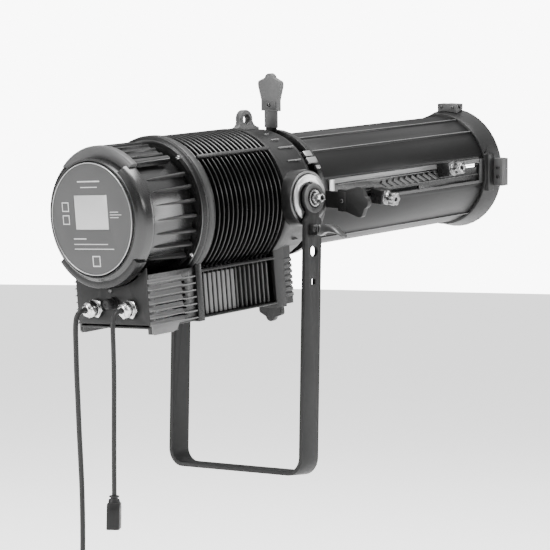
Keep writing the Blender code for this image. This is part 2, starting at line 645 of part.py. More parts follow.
def lens_carriages():
    """Each carriage holds its lens and is locked by a knob outside its slot."""
    for name, (angle, x, start, end) in LENSES.items():
        slide = empty("carriage_%s_slide" % name, (x, 0, 0), parent=BARREL)
        carriage = turned("carriage_" + name, [(-16, 72), (-16, 81), (16, 81), (16, 72), (3, 72), (3, 76.5),
                                               (-3, 76.5), (-3, 72)], "satin_black", ring=True, steps=32,
                          parent=slide)
        knob_axis = empty("knob_%s_axis" % name, turn=(90 - angle, 0, 0), parent=slide)
        combine(carriage, rod("stem", 2.2, 78, 95, "satin_black", "Z", parent=knob_axis, steps=12), "UNION")
        combine(carriage, block("lock_block", (-11.5, -11.5, 93.5), (11.5, 11.5, 117.5), "satin_black",
                                parent=knob_axis), "UNION")
        glass = [(-2.7, 0), (-2.7, 76.0), (2.7, 76.0), (2.7, 71.5), (8, 50), (11, 25), (12, 0)]
        turned("lens_" + name, glass, "lens_glass", steps=32, parent=slide)
        turned("knob_" + name, [(117.8, 0), (117.8, 11), (120.5, 11), (121.5, 8), (124.5, 8), (125.5, 10.8),
                                (137, 10.8), (138, 9.6), (138, 0)], "bright_steel", "Z", 20,
               parent=knob_axis)


def front_ring():
    """Flared accessory ring with a clip box on top and on the near side, and the frame latch."""
    ring = turned("front_ring", [(507, 86), (507, 95.5), (520, 97), (544, 103), (544, 98), (525, 92),
                                 (525, 86)], "satin_black", ring=True, steps=44, parent=BARREL)
    combine(ring, block("side_pad", (508, -100.2, -31.5), (524, -80, 31.5), "satin_black", parent=BARREL),
            "UNION")
    combine(ring, rod("ring_bore", 88, 490, 526, "satin_black", parent=BARREL, steps=44))
    clip = block("frame_clip", (524.3, -20.5, 92), (542, 20.5, 111.5), "satin_black", parent=BARREL)
    combine(clip, rod("clip_seat", 97.4, 520, 546, "satin_black", parent=BARREL, steps=44, tip=103.9))
    combine(clip, block("clip_slot", (530, -30, 104.5), (537, -9, 108.5), "satin_black", parent=BARREL))
    bracket = block("side_clip", (524.3, -117, -23.5), (542, -92, 23.5), "satin_black", parent=BARREL)
    combine(bracket, rod("bracket_seat", 97.4, 520, 546, "satin_black", parent=BARREL, steps=44, tip=103.9))
    latch_axis = empty("latch_hinge", (545.2, 0, 109.3), parent=BARREL)
    latch = [(-1.8, -1.8), (5.5, -1.8), (5.5, -7.5), (7.8, -7.5), (7.8, 1.8), (-1.8, 1.8)]
    sheet("frame_latch", [latch], 26, "dark_steel", turn=FACE_Y, parent=latch_axis)


# ---------------------------------------------------------------- cords
MAINS_ROUTE = [(-316.4, 31, 250.2), (-319.9, 31, 249.7), (-325.1, 31, 248.2), (-329.9, 31, 244.4),
               (-332.9, 31, 238.9), (-334.2, 31, 231), (-334.4, 31, 220), (-333.6, 31, 205), (-332.2, 31, 182),
               (-330.6, 31, 156), (-327.2, 31, 115), (-323.8, 31, 72), (-320.0, 31, 30), (-316.5, 31, -12),
               (-314.0, 31, -62), (-313, 31, -100), (-313, 31, -132.4)]
LINK_ROUTE = [(-312.4, -40.5, 250.7), (-315.9, -40.5, 250.3), (-321.1, -40.5, 248.5), (-325.5, -40.5, 244.4),
              (-327.9, -40.5, 238.8), (-328.6, -40.5, 231), (-328.2, -40.5, 218), (-326.6, -40.5, 196),
              (-325.0, -40.5, 165), (-324.0, -40.5, 135), (-323.4, -40.5, 104), (-322.2, -40.5, 48),
              (-320.4, -40.5, -16)]
COIL_AT = (-313.0, 31.0 - COIL_D / 2, -168.0)


def cords():
    tube("mains_cord", MAINS_ROUTE, MAINS_D, "black_rubber")
    half = MAINS_D + 0.6
    turned("mains_coil", [(-half, COIL_D / 2 - half), (-half, COIL_D / 2 + half), (half, COIL_D / 2 + half),
                          (half, COIL_D / 2 - half)], "black_rubber", "X", 40, True, COIL_AT)
    x, y, z = COIL_AT
    body = [(-37.0, 0), (-37.0, 5.6), (-52, 7.0), (-58, 15), (-62, 17), (-84, 18.5), (-86, 17.5), (-86, 0)]
    turned("mains_plug", body, "black_plastic", "Z", 28, at=(x, y + COIL_D / 2, z))
    tube("link_cord", LINK_ROUTE, LINK_D, "black_rubber")
    x, y, z = LINK_ROUTE[-1]
    relief = [(-0.3, 0), (-0.3, 7.4), (-3, 7.8), (-3.5, 6.0), (-5.5, 6.0), (-6, 7.4), (-8, 8.0), (-10, 8.6),
              (-10, 0)]
    plug = turned("link_connector", relief, "black_plastic", "Z", 20, at=(x, y, z))
    body = block("connector_body", (x - 13, y - 9.7, z - 50), (x + 13, y + 9.7, z - 8.5), "black_plastic")
    combine(plug, bevel(body, 2.0), "UNION")


yoke_strap()
trunnion_bolts()
tilt_clamp()
rear_cover()
label_plate()
top_block()
drum()
fan()
heat_sink()
lower_fins()
light_engine()
front_housing()
tilt_discs()
driver_case()
cable_glands()
shutter_collar()
shutters()
lens_tube()
slide_plate()
lens_carriages()
front_ring()
cords()
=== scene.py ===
"""Looks of the ellipsoidal spotlight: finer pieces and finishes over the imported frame."""
import json
import math

import bmesh
import bpy
from mathutils import Matrix, Vector

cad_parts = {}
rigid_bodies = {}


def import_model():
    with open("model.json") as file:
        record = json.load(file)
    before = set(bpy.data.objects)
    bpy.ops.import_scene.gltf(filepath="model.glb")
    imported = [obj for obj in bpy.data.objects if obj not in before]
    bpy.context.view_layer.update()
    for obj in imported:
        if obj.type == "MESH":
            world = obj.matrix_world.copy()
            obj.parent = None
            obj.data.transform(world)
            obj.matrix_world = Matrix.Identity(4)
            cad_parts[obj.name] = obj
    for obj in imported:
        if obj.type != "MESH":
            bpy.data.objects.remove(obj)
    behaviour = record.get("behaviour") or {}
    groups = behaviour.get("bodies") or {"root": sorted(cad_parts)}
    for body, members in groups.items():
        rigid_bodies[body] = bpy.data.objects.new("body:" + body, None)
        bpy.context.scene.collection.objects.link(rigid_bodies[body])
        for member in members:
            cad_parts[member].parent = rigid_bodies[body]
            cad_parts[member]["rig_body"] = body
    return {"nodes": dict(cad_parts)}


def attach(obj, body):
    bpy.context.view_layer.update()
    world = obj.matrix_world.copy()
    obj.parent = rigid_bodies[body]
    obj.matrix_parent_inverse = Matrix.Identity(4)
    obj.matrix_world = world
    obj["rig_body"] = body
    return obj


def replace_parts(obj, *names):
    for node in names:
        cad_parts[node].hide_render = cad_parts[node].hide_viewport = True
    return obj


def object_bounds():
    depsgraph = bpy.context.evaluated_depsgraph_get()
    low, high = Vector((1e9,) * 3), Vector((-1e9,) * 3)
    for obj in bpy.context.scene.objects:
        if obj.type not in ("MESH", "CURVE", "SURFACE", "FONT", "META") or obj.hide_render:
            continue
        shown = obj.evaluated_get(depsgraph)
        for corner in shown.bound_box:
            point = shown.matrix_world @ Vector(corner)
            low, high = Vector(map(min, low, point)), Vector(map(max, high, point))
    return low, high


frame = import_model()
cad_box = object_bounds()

NODES = frame["nodes"]
MM = 0.001

# Frames of the head and the barrel, as the frame's joints leave them at rest.
TILT = math.radians(7.5)
TWIST = math.radians(4.5)
PIVOT = Vector((0, 0, 0.425))
HEAD = Matrix.Translation(PIVOT) @ Matrix.Rotation(-TILT, 4, "Y") @ Matrix.Translation((0, 0, 0.003))
BARREL = HEAD @ Matrix.Rotation(TWIST, 4, "X")
WORLD = Matrix.Identity(4)

# Driving sizes in millimetres.
FIN_COUNT, FIN_X0, FIN_PITCH = 16, -191.7, 10.0875
CAM_HINGE = Vector((-2, -153.3, 376)) * MM
PANEL_X = -309.0
GLANDS = {"gland_mains": (31.0, -336.0, 8.0), "gland_link": (-40.5, -332.0, 7.3)}
GLAND_Z = -135.0
LENSES = {"rear": (-6.0, 207.0), "front": (9.0, 385.0)}
SHUTTERS = {"top": (0, 190.5, 62.5), "near": (90, 205.0, 54.5), "bottom": (180, 204.0, 58.5),
            "far": (-90, 203.0, 50.5)}
MAINS_D, LINK_D, COIL_D = 8.0, 7.3, 92.0
SIDES = ((-1, "near"), (1, "far"))
LOUVRES = (7, (0, 0, -10.3))          # count and step

# A Mix node has sockets for each data type; these are the factor and the two colours.
MIX_COLOUR_INPUTS, MIX_COLOUR_OUTPUT = (0, 6, 7), 2
NOISE_LOW, NOISE_SPAN = 0.3, 0.4     # where most of a noise texture lies
PLASTIC_SHINE = 0.25
SHARP = 1.2                           # radians between faces, for softened forms
REFINED_ANGLE = 34.0                  # edges sharper than this are rounded


# ---- shader helper
class Wire:
    """A shader socket that takes part in arithmetic."""

    def __init__(self, finish, socket):
        self.finish = finish
        self.socket = socket

    def _do(self, operation, *values):
        return self.finish.node("ShaderNodeMath", {"operation": operation}, *values)

    def __add__(self, other):
        return self._do("ADD", self, other)

    __radd__ = __add__

    def __sub__(self, other):
        return self._do("SUBTRACT", self, other)

    def __rsub__(self, other):
        return self._do("SUBTRACT", other, self)

    def __mul__(self, other):
        return self._do("MULTIPLY", self, other)

    __rmul__ = __mul__


class Finish:
    """A material under construction."""

    def __init__(self, name):
        self.material = bpy.data.materials.new(name)
        self.material.use_nodes = True
        self.tree = self.material.node_tree
        self.shader = self.tree.nodes["Principled BSDF"]

    def node(self, kind, settings=None, *values, out=0, **named):
        """Add a node: its settings first, then the values or links of its sockets."""
        made = self.tree.nodes.new(kind)
        for key, value in (settings or {}).items():
            setattr(made, key, value)
        for index, value in list(enumerate(values)) + list(named.items()):
            key = index if isinstance(index, int) else index.replace("_", " ")
            self.put(made.inputs[key], value)
        return Wire(self, made.outputs[out])

    def put(self, socket, value):
        if isinstance(value, Wire):
            self.tree.links.new(value.socket, socket)
        else:
            socket.default_value = value

    def set(self, **inputs):
        for name, value in inputs.items():
            self.put(self.shader.inputs[name.replace("_", " ")], value)
        return self

    def coords(self, stretch=(1, 1, 1)):
        place = self.node("ShaderNodeTexCoord", out="Object")
        return self.node("ShaderNodeMapping", None, Vector=place, Scale=stretch)

    def noise(self, scale, detail=3.0, stretch=(1, 1, 1), roughness=0.5):
        return self.node("ShaderNodeTexNoise", None, Vector=self.coords(stretch), Scale=scale,
                         Detail=detail, Roughness=roughness)

    def mix(self, mask, low, high):
        """A colour between two, by a mask."""
        made = self.tree.nodes.new("ShaderNodeMix")
        made.data_type = "RGBA"
        for index, value in zip(MIX_COLOUR_INPUTS, (mask, low, high)):
            self.put(made.inputs[index], value)
        return Wire(self, made.outputs[MIX_COLOUR_OUTPUT])

    def bump(self, height, strength, distance=0.0005):
        return self.node("ShaderNodeBump", None, Height=height, Strength=strength, Distance=distance)


def grey(value, tint=0.0):
    return (value, value * (1 - tint * 0.3), value * (1 - tint), 1.0)


def remap(wire, low, high):
    """Stretch a noise over a range."""
    return (wire - NOISE_LOW) * ((high - low) / NOISE_SPAN) + low


# ---- finishes
def powder_coat(name, shade, rough, grain=1400.0, depth=0.18, shine=0.25, vary=0.06):
    """Sprayed paint: fine orange peel, slow variation and a little dust in the gloss."""
    f = Finish(name)
    peel = f.noise(grain, 2.0)
    slow = f.noise(14.0, 4.0)
    dust = f.noise(260.0, 5.0, roughness=0.7)
    f.set(Base_Color=f.mix(slow, grey(shade * 0.82), grey(shade * 1.25)),
          Roughness=remap(dust, rough - vary, rough + vary), Specular_IOR_Level=shine,
          Normal=f.bump(peel, depth, 0.0002))
    return f.material


def turned_metal(name, shade, rough, stretch=(60, 1, 1), depth=0.1):
    """Bare or blackened metal with fine machining lines across one axis."""
    f = Finish(name)
    lines = f.noise(26.0, 6.0, stretch, 0.75)
    cloud = f.noise(30.0, 3.0)
    f.set(Base_Color=f.mix(cloud, grey(shade * 0.8), grey(min(1.0, shade * 1.15))),
          Roughness=remap(lines, rough - 0.06, rough + 0.1), Metallic=1.0,
          Normal=f.bump(lines, depth, 0.0001))
    return f.material


def moulded(name, shade, rough, grain=700.0, depth=0.25, tint=0.0):
    f = Finish(name)
    spark = f.node("ShaderNodeTexVoronoi", Vector=f.coords(), Scale=grain)
    slow = f.noise(40.0, 3.0)
    f.set(Base_Color=f.mix(slow, grey(shade * 0.85, tint), grey(shade * 1.2, tint)),
          Roughness=remap(slow, rough - 0.04, rough + 0.06), Specular_IOR_Level=PLASTIC_SHINE,
          Normal=f.bump(spark, depth, 0.0001))
    return f.material


def rubber_sheath(name):
    """Cord sheath: faint ripples of the cores inside and a dusty bloom."""
    f = Finish(name)
    ripple = f.noise(90.0, 3.0, (1, 1, 0.25))
    bloom = f.noise(22.0, 5.0)
    f.set(Base_Color=f.mix(bloom, grey(0.006), grey(0.015)), Roughness=remap(bloom, 0.42, 0.58),
          Specular_IOR_Level=0.3, Normal=f.bump(ripple, 0.15, 0.0004))
    return f.material


def label_film(name):
    """Matt printed film over metal: tiny weave and slow cloudiness."""
    f = Finish(name)
    slow = f.noise(9.0, 3.0)
    grain = f.noise(1800.0, 2.0)
    f.set(Base_Color=f.mix(slow, grey(0.05), grey(0.066)), Roughness=remap(slow, 0.42, 0.5),
          Specular_IOR_Level=0.15, Normal=f.bump(grain, 0.08, 0.0001))
    return f.material


def screen_surface(name):
    """Idle display under a clear window, with a faint fine grid in the base colour."""
    f = Finish(name)
    cloud = f.noise(12.0, 2.0)
    grid = f.node("ShaderNodeTexChecker", None, out=1, Vector=f.coords(), Scale=1400.0)
    f.set(Base_Color=f.mix(cloud * 0.8 + grid * 0.2, grey(0.3), grey(0.38)),
          Roughness=remap(cloud, 0.12, 0.2))
    return f.material


def lens_glass(name):
    f = Finish(name)
    film = f.noise(30.0, 4.0)
    f.set(Base_Color=(0.93, 0.97, 0.98, 1), Roughness=remap(film, 0.0, 0.05),
          Transmission_Weight=1.0, IOR=1.5, Coat_Weight=0.3)
    return f.material


def lamp_phosphor(name):
    """Chip array: rows of dies under yellow phosphor."""
    f = Finish(name)
    cells = f.node("ShaderNodeTexVoronoi", {"feature": "DISTANCE_TO_EDGE"}, Vector=f.coords(),
                   Scale=500.0, Randomness=0.0)
    f.set(Base_Color=f.mix(cells * 4.0, (0.35, 0.28, 0.05, 1), (0.9, 0.72, 0.12, 1)), Roughness=0.4,
          Normal=f.bump(cells, 0.4, 0.0004))
    return f.material


def circuit_board(name):
    """Solder resist over copper tracks."""
    f = Finish(name)
    tracks = f.node("ShaderNodeTexBrick", {"offset": 0.37}, out=1, Vector=f.coords(), Scale=120.0)
    f.set(Base_Color=f.mix(tracks, (0.01, 0.07, 0.03, 1), (0.02, 0.14, 0.06, 1)), Roughness=0.35,
          Normal=f.bump(tracks, 0.3, 0.0001))
    return f.material


FINISHES = {
    "knob_metal": turned_metal("knob metal", 0.2, 0.26, (20, 20, 20), 0.05),
    "rail_paint": powder_coat("rail paint", 0.09, 0.3, 1200.0, 0.05, 0.5, 0.03),
    "blade_steel": turned_metal("blade steel", 0.03, 0.36),
    "stud_metal": turned_metal("stud metal", 0.34, 0.24, (20, 20, 20), 0.03),
    "lever_paint": powder_coat("lever paint", 0.03, 0.3, 900.0, 0.05, 0.5, 0.02),
    "tube_black": powder_coat("tube paint", 0.006, 0.34, 1200.0, 0.04, 0.16, 0.02),
    # Light grey for strips along the tube's rib edges: painted highlight.
    "rib_edge_highlight": powder_coat("painted rib edge highlight", 0.12, 0.35, 1200.0, 0.05, 0.5, 0.03),
    # Mid grey for the clips, eyelet, grip clamps, lower rails and thread; on the front fin lips, foot ribs
    # and arm eyes it is painted highlight.
    "clip_and_highlight_grey": powder_coat("clip paint and painted highlight", 0.05, 0.4, 900.0, 0.15),
    "grip_light": moulded("light grip plastic", 0.075, 0.42),
    "plate_black": powder_coat("rear panel paint", 0.011, 0.45, 1100.0, 0.12, 0.2),
    "drum_gloss": powder_coat("gloss drum paint", 0.006, 0.25, 600.0, 0.01, 0.6, 0.015),
    "brow_grey": powder_coat("brow paint", 0.06, 0.4, 900.0, 0.1),
    "satin_black": powder_coat("satin black paint", 0.006, 0.3, shine=0.3),
    "cast_black": powder_coat("cast housing paint", 0.008, 0.38, 900.0, 0.25),
    "panel_grey": powder_coat("panel paint", 0.02, 0.42, 1100.0, 0.2),
    # Light grey for the louvres, their lips, the rear fin lips, the housing ribs and the foot skin on black
    # parts: painted highlight on the faces and edges that catch the light.
    "slat_grey": powder_coat("louvre and rib paint with painted highlight", 0.1, 0.4, 1200.0, 0.15),
    "heat_sink_black": turned_metal("anodised fins", 0.045, 0.3),
    "yoke_paint": powder_coat("yoke paint", 0.016, 0.48, 1000.0, 0.3, 0.14),
    "label_grey": label_film("label film"),
    "screen_glass": screen_surface("display window"),
    "board_green": circuit_board("circuit board"),
    "bright_steel": turned_metal("plated brass", 0.6, 0.2, depth=0.04),
    "dark_steel": turned_metal("blackened steel", 0.09, 0.34),
    "rail_metal": turned_metal("slide rail metal", 0.4, 0.34, (2, 60, 60)),
    "bare_aluminium": turned_metal("machined aluminium", 0.5, 0.33, (20, 20, 20)),
    "black_plastic": moulded("moulded plastic", 0.008, 0.42),
    "black_rubber": rubber_sheath("cord rubber"),
    "lens_glass": lens_glass("optical glass"),
    "led_yellow": lamp_phosphor("phosphor"),
    "mirror": turned_metal("polished reflector", 0.85, 0.08),
    "print_white": moulded("printing ink", 0.42, 0.5, 900.0, 0.1),
}


# ---- camera, light and floor
CAMERA_AT, CAMERA_LENS = (-2.6843, -2.4211, 0.3066), 151.0
CAMERA_YAW, CAMERA_ROLL = math.radians(-48.70), math.radians(0.876)
BACKDROP_SEEN, BACKDROP_LIGHT = 9.0, 0.16     # strength to the camera, and to everything else
FLOOR_SIZE, FLOOR_GAP, FLOOR_GLOW = 70.0, 0.004, 0.9


def camera():
    lens = bpy.data.cameras.new("camera")
    lens.lens = CAMERA_LENS
    lens.clip_end = 250.0
    lens.clip_start = 0.05
    eye = bpy.data.objects.new("camera", lens)
    bpy.context.scene.collection.objects.link(eye)
    yaw, roll = CAMERA_YAW, CAMERA_ROLL
    forward = Vector((-math.sin(yaw), math.cos(yaw), 0))
    level = Vector((math.cos(yaw), math.sin(yaw), 0))
    up = Vector((0, 0, 1))
    right = level * math.cos(roll) + up * math.sin(roll)
    top = up * math.cos(roll) - level * math.sin(roll)
    turn = Matrix((right, top, -forward)).transposed().to_4x4()
    eye.matrix_world = Matrix.Translation(CAMERA_AT) @ turn
    bpy.context.scene.camera = eye


def softbox(name, at, toward, size, power):
    light = bpy.data.lights.new(name, "AREA")
    light.shape = "RECTANGLE"
    light.size, light.size_y = size
    light.energy = power
    lamp = bpy.data.objects.new(name, light)
    bpy.context.scene.collection.objects.link(lamp)
    aim = (Vector(toward) - Vector(at)).to_track_quat("-Z", "Y")
    lamp.matrix_world = Matrix.Translation(at) @ aim.to_matrix().to_4x4()


def studio():
    world = bpy.data.worlds.new("studio")
    bpy.context.scene.world = world
    world.use_nodes = True
    tree = world.node_tree
    backdrop = tree.nodes["Background"]
    path = tree.nodes.new("ShaderNodeLightPath")
    level = tree.nodes.new("ShaderNodeMapRange")
    level.inputs["To Min"].default_value = BACKDROP_LIGHT
    level.inputs["To Max"].default_value = BACKDROP_SEEN
    tree.links.new(path.outputs["Is Camera Ray"], level.inputs["Value"])
    tree.links.new(level.outputs["Result"], backdrop.inputs["Strength"])
    backdrop.inputs["Color"].default_value = (1, 1, 1, 1)
    softbox("overhead", (-0.2, -0.5, 3.2), (0.0, -0.1, 0.3), (2.6, 1.5), 260)
    softbox("left", (-3.2, 0.9, 1.3), (-0.2, 0, 0.42), (0.9, 2.2), 120)
    softbox("near", (-0.3, -3.6, 1.5), (0.1, 0, 0.42), (2.4, 0.7), 50)
    softbox("rim", (2.6, -2.4, 0.9), (0.3, 0, 0.42), (0.5, 1.8), 45)
    sky = bpy.data.lights.new("sky", "SUN")
    sky.energy = 2.6
    sky.angle = math.radians(120)
    lamp = bpy.data.objects.new("sky", sky)
    bpy.context.scene.collection.objects.link(lamp)

    form = bmesh.new()
    bmesh.ops.create_grid(form, x_segments=2, y_segments=2, size=FLOOR_SIZE)
    bmesh.ops.translate(form, verts=form.verts, vec=(0, 0, cad_box[0][2] - FLOOR_GAP))
    mesh = bpy.data.meshes.new("floor")
    form.to_mesh(mesh)
    form.free()
    floor = bpy.data.objects.new("floor", mesh)
    bpy.context.scene.collection.objects.link(floor)
    f = Finish("floor paint")
    slow = f.noise(1.5, 3.0)
    f.set(Base_Color=f.mix(slow, grey(0.9), grey(0.94)), Roughness=0.7,
          Emission_Color=grey(1.0), Emission_Strength=FLOOR_GLOW)
    mesh.materials.append(f.material)


# ---- making pieces
def piece(name, form, look, body, place=HEAD, smooth=32.0, scale=MM):
    """A finished piece from a mesh in millimetres in its own frame."""
    form.transform(place @ Matrix.Scale(scale, 4))
    bmesh.ops.recalc_face_normals(form, faces=form.faces)
    mesh = bpy.data.meshes.new(name)
    form.to_mesh(mesh)
    form.free()
    mesh.materials.append(FINISHES[look])
    mesh.shade_smooth()
    mesh.set_sharp_from_angle(angle=math.radians(smooth))
    made = bpy.data.objects.new(name, mesh)
    bpy.context.scene.collection.objects.link(made)
    if body:
        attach(made, body)
    return made


def box_form(low, high, edge=0.6, segments=2):
    form = bmesh.new()
    bmesh.ops.create_cube(form, size=1.0)
    for vert in form.verts:
        vert.co = Vector((low[i] if vert.co[i] < 0 else high[i]) for i in range(3))
    if edge:
        bmesh.ops.bevel(form, geom=form.edges[:], offset=edge, segments=segments, affect="EDGES",
                        profile=0.6)
    return form


def lathe_form(profile, steps=96, axis="X", at=(0, 0, 0), closed=False):
    """Turn (along, radius) points about an axis."""
    form = bmesh.new()
    turn = {"X": Matrix.Rotation(math.pi / 2, 4, "Y"), "Y": Matrix.Rotation(-math.pi / 2, 4, "X"),
            "Z": Matrix.Identity(4)}[axis]
    rings = []
    for along, radius in profile:
        if radius < 1e-6:
            rings.append([form.verts.new((0, 0, along))])
        else:
            rings.append([form.verts.new((radius * math.cos(2 * math.pi * i / steps),
                                          radius * math.sin(2 * math.pi * i / steps), along))
                          for i in range(steps)])
    pairs = list(zip(rings, rings[1:])) + ([(rings[-1], rings[0])] if closed else [])
    for a, b in pairs:
        for i in range(steps):
            j = (i + 1) % steps
            loop = [a[i % len(a)], a[j % len(a)], b[j % len(b)], b[i % len(b)]]
            loop = list(dict.fromkeys(loop))
            if len(loop) > 2:
                form.faces.new(loop)
    form.transform(Matrix.Translation(at) @ turn)
    return form


def arc(centre, radius, start, end, count):
    angles = [math.radians(start + (end - start) * i / count) for i in range(count + 1)]
    return [(centre[0] + radius * math.cos(a), centre[1] + radius * math.sin(a)) for a in angles]


def plate_form(outlines, thickness, edge=0.4, turn="XZ", at=(0, 0, 0)):
    """A flat outline with its holes, thickened about its plane, with rounded edges."""
    curve = bpy.data.curves.new("outline", "CURVE")
    curve.dimensions = "2D"
    curve.fill_mode = "BOTH"
    curve.extrude = thickness / 2 - edge
    curve.bevel_depth = edge
    curve.bevel_resolution = 1
    curve.offset = -edge
    for outline in outlines:
        spline = curve.splines.new("POLY")
        spline.points.add(len(outline) - 1)
        for point, (u, v) in zip(spline.points, outline):
            point.co = (u, v, 0, 1)
        spline.use_cyclic_u = True
    maker = bpy.data.objects.new("outline", curve)
    bpy.context.scene.collection.objects.link(maker)
    mesh = bpy.data.meshes.new_from_object(maker.evaluated_get(bpy.context.evaluated_depsgraph_get()))
    bpy.data.objects.remove(maker)
    bpy.data.curves.remove(curve)
    form = bmesh.new()
    form.from_mesh(mesh)
    bpy.data.meshes.remove(mesh)
    bmesh.ops.remove_doubles(form, verts=form.verts, dist=0.0005)
    upright = {"XY": Matrix.Identity(4), "XZ": Matrix.Rotation(math.pi / 2, 4, "X"),
               "YZ": Matrix.Rotation(math.pi / 2, 4, "Z") @ Matrix.Rotation(math.pi / 2, 4, "X")}[turn]
    form.transform(Matrix.Translation(at) @ upright)
    return form


def join_forms(*forms):
    """One mesh of several."""
    whole = bmesh.new()
    for form in forms:
        mesh = bpy.data.meshes.new("part")
        form.to_mesh(mesh)
        form.free()
        whole.from_mesh(mesh)
        bpy.data.meshes.remove(mesh)
    return whole


def polar(radius, degrees):
    a = math.radians(degrees)
    return (radius * math.cos(a), radius * math.sin(a))


def refined(node, look, edge=0.5, segments=2):
    """A softened copy of a CAD node: flats merged, edges rounded."""
    source = NODES[node]
    form = bmesh.new()
    form.from_mesh(source.data)
    bmesh.ops.remove_doubles(form, verts=form.verts, dist=0.00001)
    bmesh.ops.dissolve_limit(form, angle_limit=math.radians(0.6), verts=form.verts, edges=form.edges)
    made = piece(node + "_shape", form, look, None, WORLD, REFINED_ANGLE, 1.0)
    step = made.modifiers.new("edges", "BEVEL")
    step.width = edge * MM
    step.segments = segments
    step.limit_method = "ANGLE"
    step.angle_limit = math.radians(REFINED_ANGLE)
    bake(made)
    made.data.shade_smooth()
    made.data.set_sharp_from_angle(angle=math.radians(REFINED_ANGLE))
    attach(made, source["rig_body"])
    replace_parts(made, node)
    return made


def bake(made):
    """Apply a piece's modifiers."""
    graph = bpy.context.evaluated_depsgraph_get()
    mesh = bpy.data.meshes.new_from_object(made.evaluated_get(graph), depsgraph=graph)
    made.modifiers.clear()
    old = made.data
    made.data = mesh
    bpy.data.meshes.remove(old)
    return made


# ---- repeats by Geometry Nodes
def repeat_tree(name, ring):
    """A tree that sets copies of an object in a row, or in a ring about X."""
    tree = bpy.data.node_groups.new(name, "GeometryNodeTree")
    face = tree.interface
    face.new_socket("Geometry", in_out="OUTPUT", socket_type="NodeSocketGeometry")
    face.new_socket("Source", in_out="INPUT", socket_type="NodeSocketObject")
    face.new_socket("Count", in_out="INPUT", socket_type="NodeSocketInt")
    face.new_socket("Step", in_out="INPUT", socket_type="NodeSocketVector")
    face.new_socket("Finish", in_out="INPUT", socket_type="NodeSocketMaterial")
    made = {key: tree.nodes.new(kind) for key, kind in (
        ("in", "NodeGroupInput"), ("out", "NodeGroupOutput"), ("line", "GeometryNodeMeshLine"),
        ("source", "GeometryNodeObjectInfo"), ("copies", "GeometryNodeInstanceOnPoints"),
        ("real", "GeometryNodeRealizeInstances"), ("finish", "GeometryNodeSetMaterial"),
        ("index", "GeometryNodeInputIndex"), ("angle", "ShaderNodeVectorMath"))}
    link = tree.links.new
    made["angle"].operation = "SCALE"
    link(made["in"].outputs["Count"], made["line"].inputs["Count"])
    link(made["in"].outputs["Source"], made["source"].inputs["Object"])
    link(made["line"].outputs["Mesh"], made["copies"].inputs["Points"])
    link(made["source"].outputs["Geometry"], made["copies"].inputs["Instance"])
    if ring:
        made["line"].inputs["Offset"].default_value = (0, 0, 0)
        link(made["in"].outputs["Step"], made["angle"].inputs[0])
        link(made["index"].outputs[0], made["angle"].inputs["Scale"])
        link(made["angle"].outputs[0], made["copies"].inputs["Rotation"])
    else:
        link(made["in"].outputs["Step"], made["line"].inputs["Offset"])
    link(made["copies"].outputs["Instances"], made["real"].inputs["Geometry"])
    link(made["real"].outputs["Geometry"], made["finish"].inputs["Geometry"])
    link(made["in"].outputs["Finish"], made["finish"].inputs["Material"])
    link(made["finish"].outputs["Geometry"], made["out"].inputs["Geometry"])
    return tree


ROW, RING = repeat_tree("row of copies", False), repeat_tree("ring of copies", True)


def repeated(name, form, count, step, look, body, place=HEAD, ring=False, smooth=32.0):
    """Copies of one form, a step apart in millimetres or, in a ring, in degrees."""
    source = piece(name + "_one", form, look, None, WORLD, smooth, 1.0)
    holder = bpy.data.objects.new(name, bpy.data.meshes.new(name))
    bpy.context.scene.collection.objects.link(holder)
    nodes = holder.modifiers.new("copies", "NODES")
    nodes.node_group = RING if ring else ROW
    values = {"Source": source, "Count": count, "Finish": FINISHES[look],
              "Step": [math.radians(s) for s in step] if ring else step}
    for item in nodes.node_group.interface.items_tree:
        if item.in_out == "INPUT":
            value = values[item.name]
            if item.name == "Step":
                for i in range(3):
                    nodes[item.identifier][i] = float(value[i])
            else:
                nodes[item.identifier] = value
    bake(holder)
    bpy.data.objects.remove(source)
    holder.data.transform(place @ Matrix.Scale(MM, 4))
    holder.data.shade_smooth()
    holder.data.set_sharp_from_angle(angle=math.radians(smooth))
    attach(holder, body)
    return holder


# ---- cords
MAINS_ROUTE = [(x, GLANDS["gland_mains"][0], z) for x, z in (
    (-316.4, 250.2), (-319.9, 249.7), (-325.1, 248.2), (-329.9, 244.4), (-332.9, 238.9), (-334.2, 231),
    (-334.4, 220), (-333.6, 205), (-332.2, 182), (-330.6, 156), (-327.2, 115), (-323.8, 72), (-320.0, 30),
    (-316.5, -12), (-314.0, -62), (-313, -100), (-313, -132.4))]
LINK_ROUTE = [(x, GLANDS["gland_link"][0], z) for x, z in (
    (-312.4, 250.7), (-315.9, 250.3), (-321.1, 248.5), (-325.5, 244.4), (-327.9, 238.8), (-328.6, 231),
    (-328.2, 218), (-326.6, 196), (-325.0, 165), (-324.0, 135), (-323.4, 104), (-322.2, 48), (-320.4, -16))]
COIL_AT = (-313.0, GLANDS["gland_mains"][0] - COIL_D / 2, -168.0)
COIL_TURNS = 4
TURN_POINTS = 40
CORD_SPACING = 5.0
CONNECTOR_TURN = 38.0


def smooth_path(route, spacing):
    """Points about one spacing apart on a smooth curve through the route."""
    knots = [Vector(p) for p in route]
    ends = [2 * knots[0] - knots[1]] + knots + [2 * knots[-1] - knots[-2]]
    fine = []
    for a, b, c, d in zip(ends, ends[1:], ends[2:], ends[3:]):
        for i in range(24):
            t = i / 24
            fine.append(0.5 * (2 * b + (c - a) * t + (2 * a - 5 * b + 4 * c - d) * t * t
                               + (3 * b - a - 3 * c + d) * t ** 3))
    fine.append(knots[-1])
    length = sum((q - p).length for p, q in zip(fine, fine[1:]))
    count = max(2, round(length / spacing))
    picked, run, mark = [fine[0]], 0.0, 1
    for p, q in zip(fine, fine[1:]):
        run += (q - p).length
        while mark < count and run >= mark * length / count:
            picked.append(q)
            mark += 1
    return picked + [fine[-1]]


def route_length(path):
    return sum((q - p).length for p, q in zip(path, path[1:]))


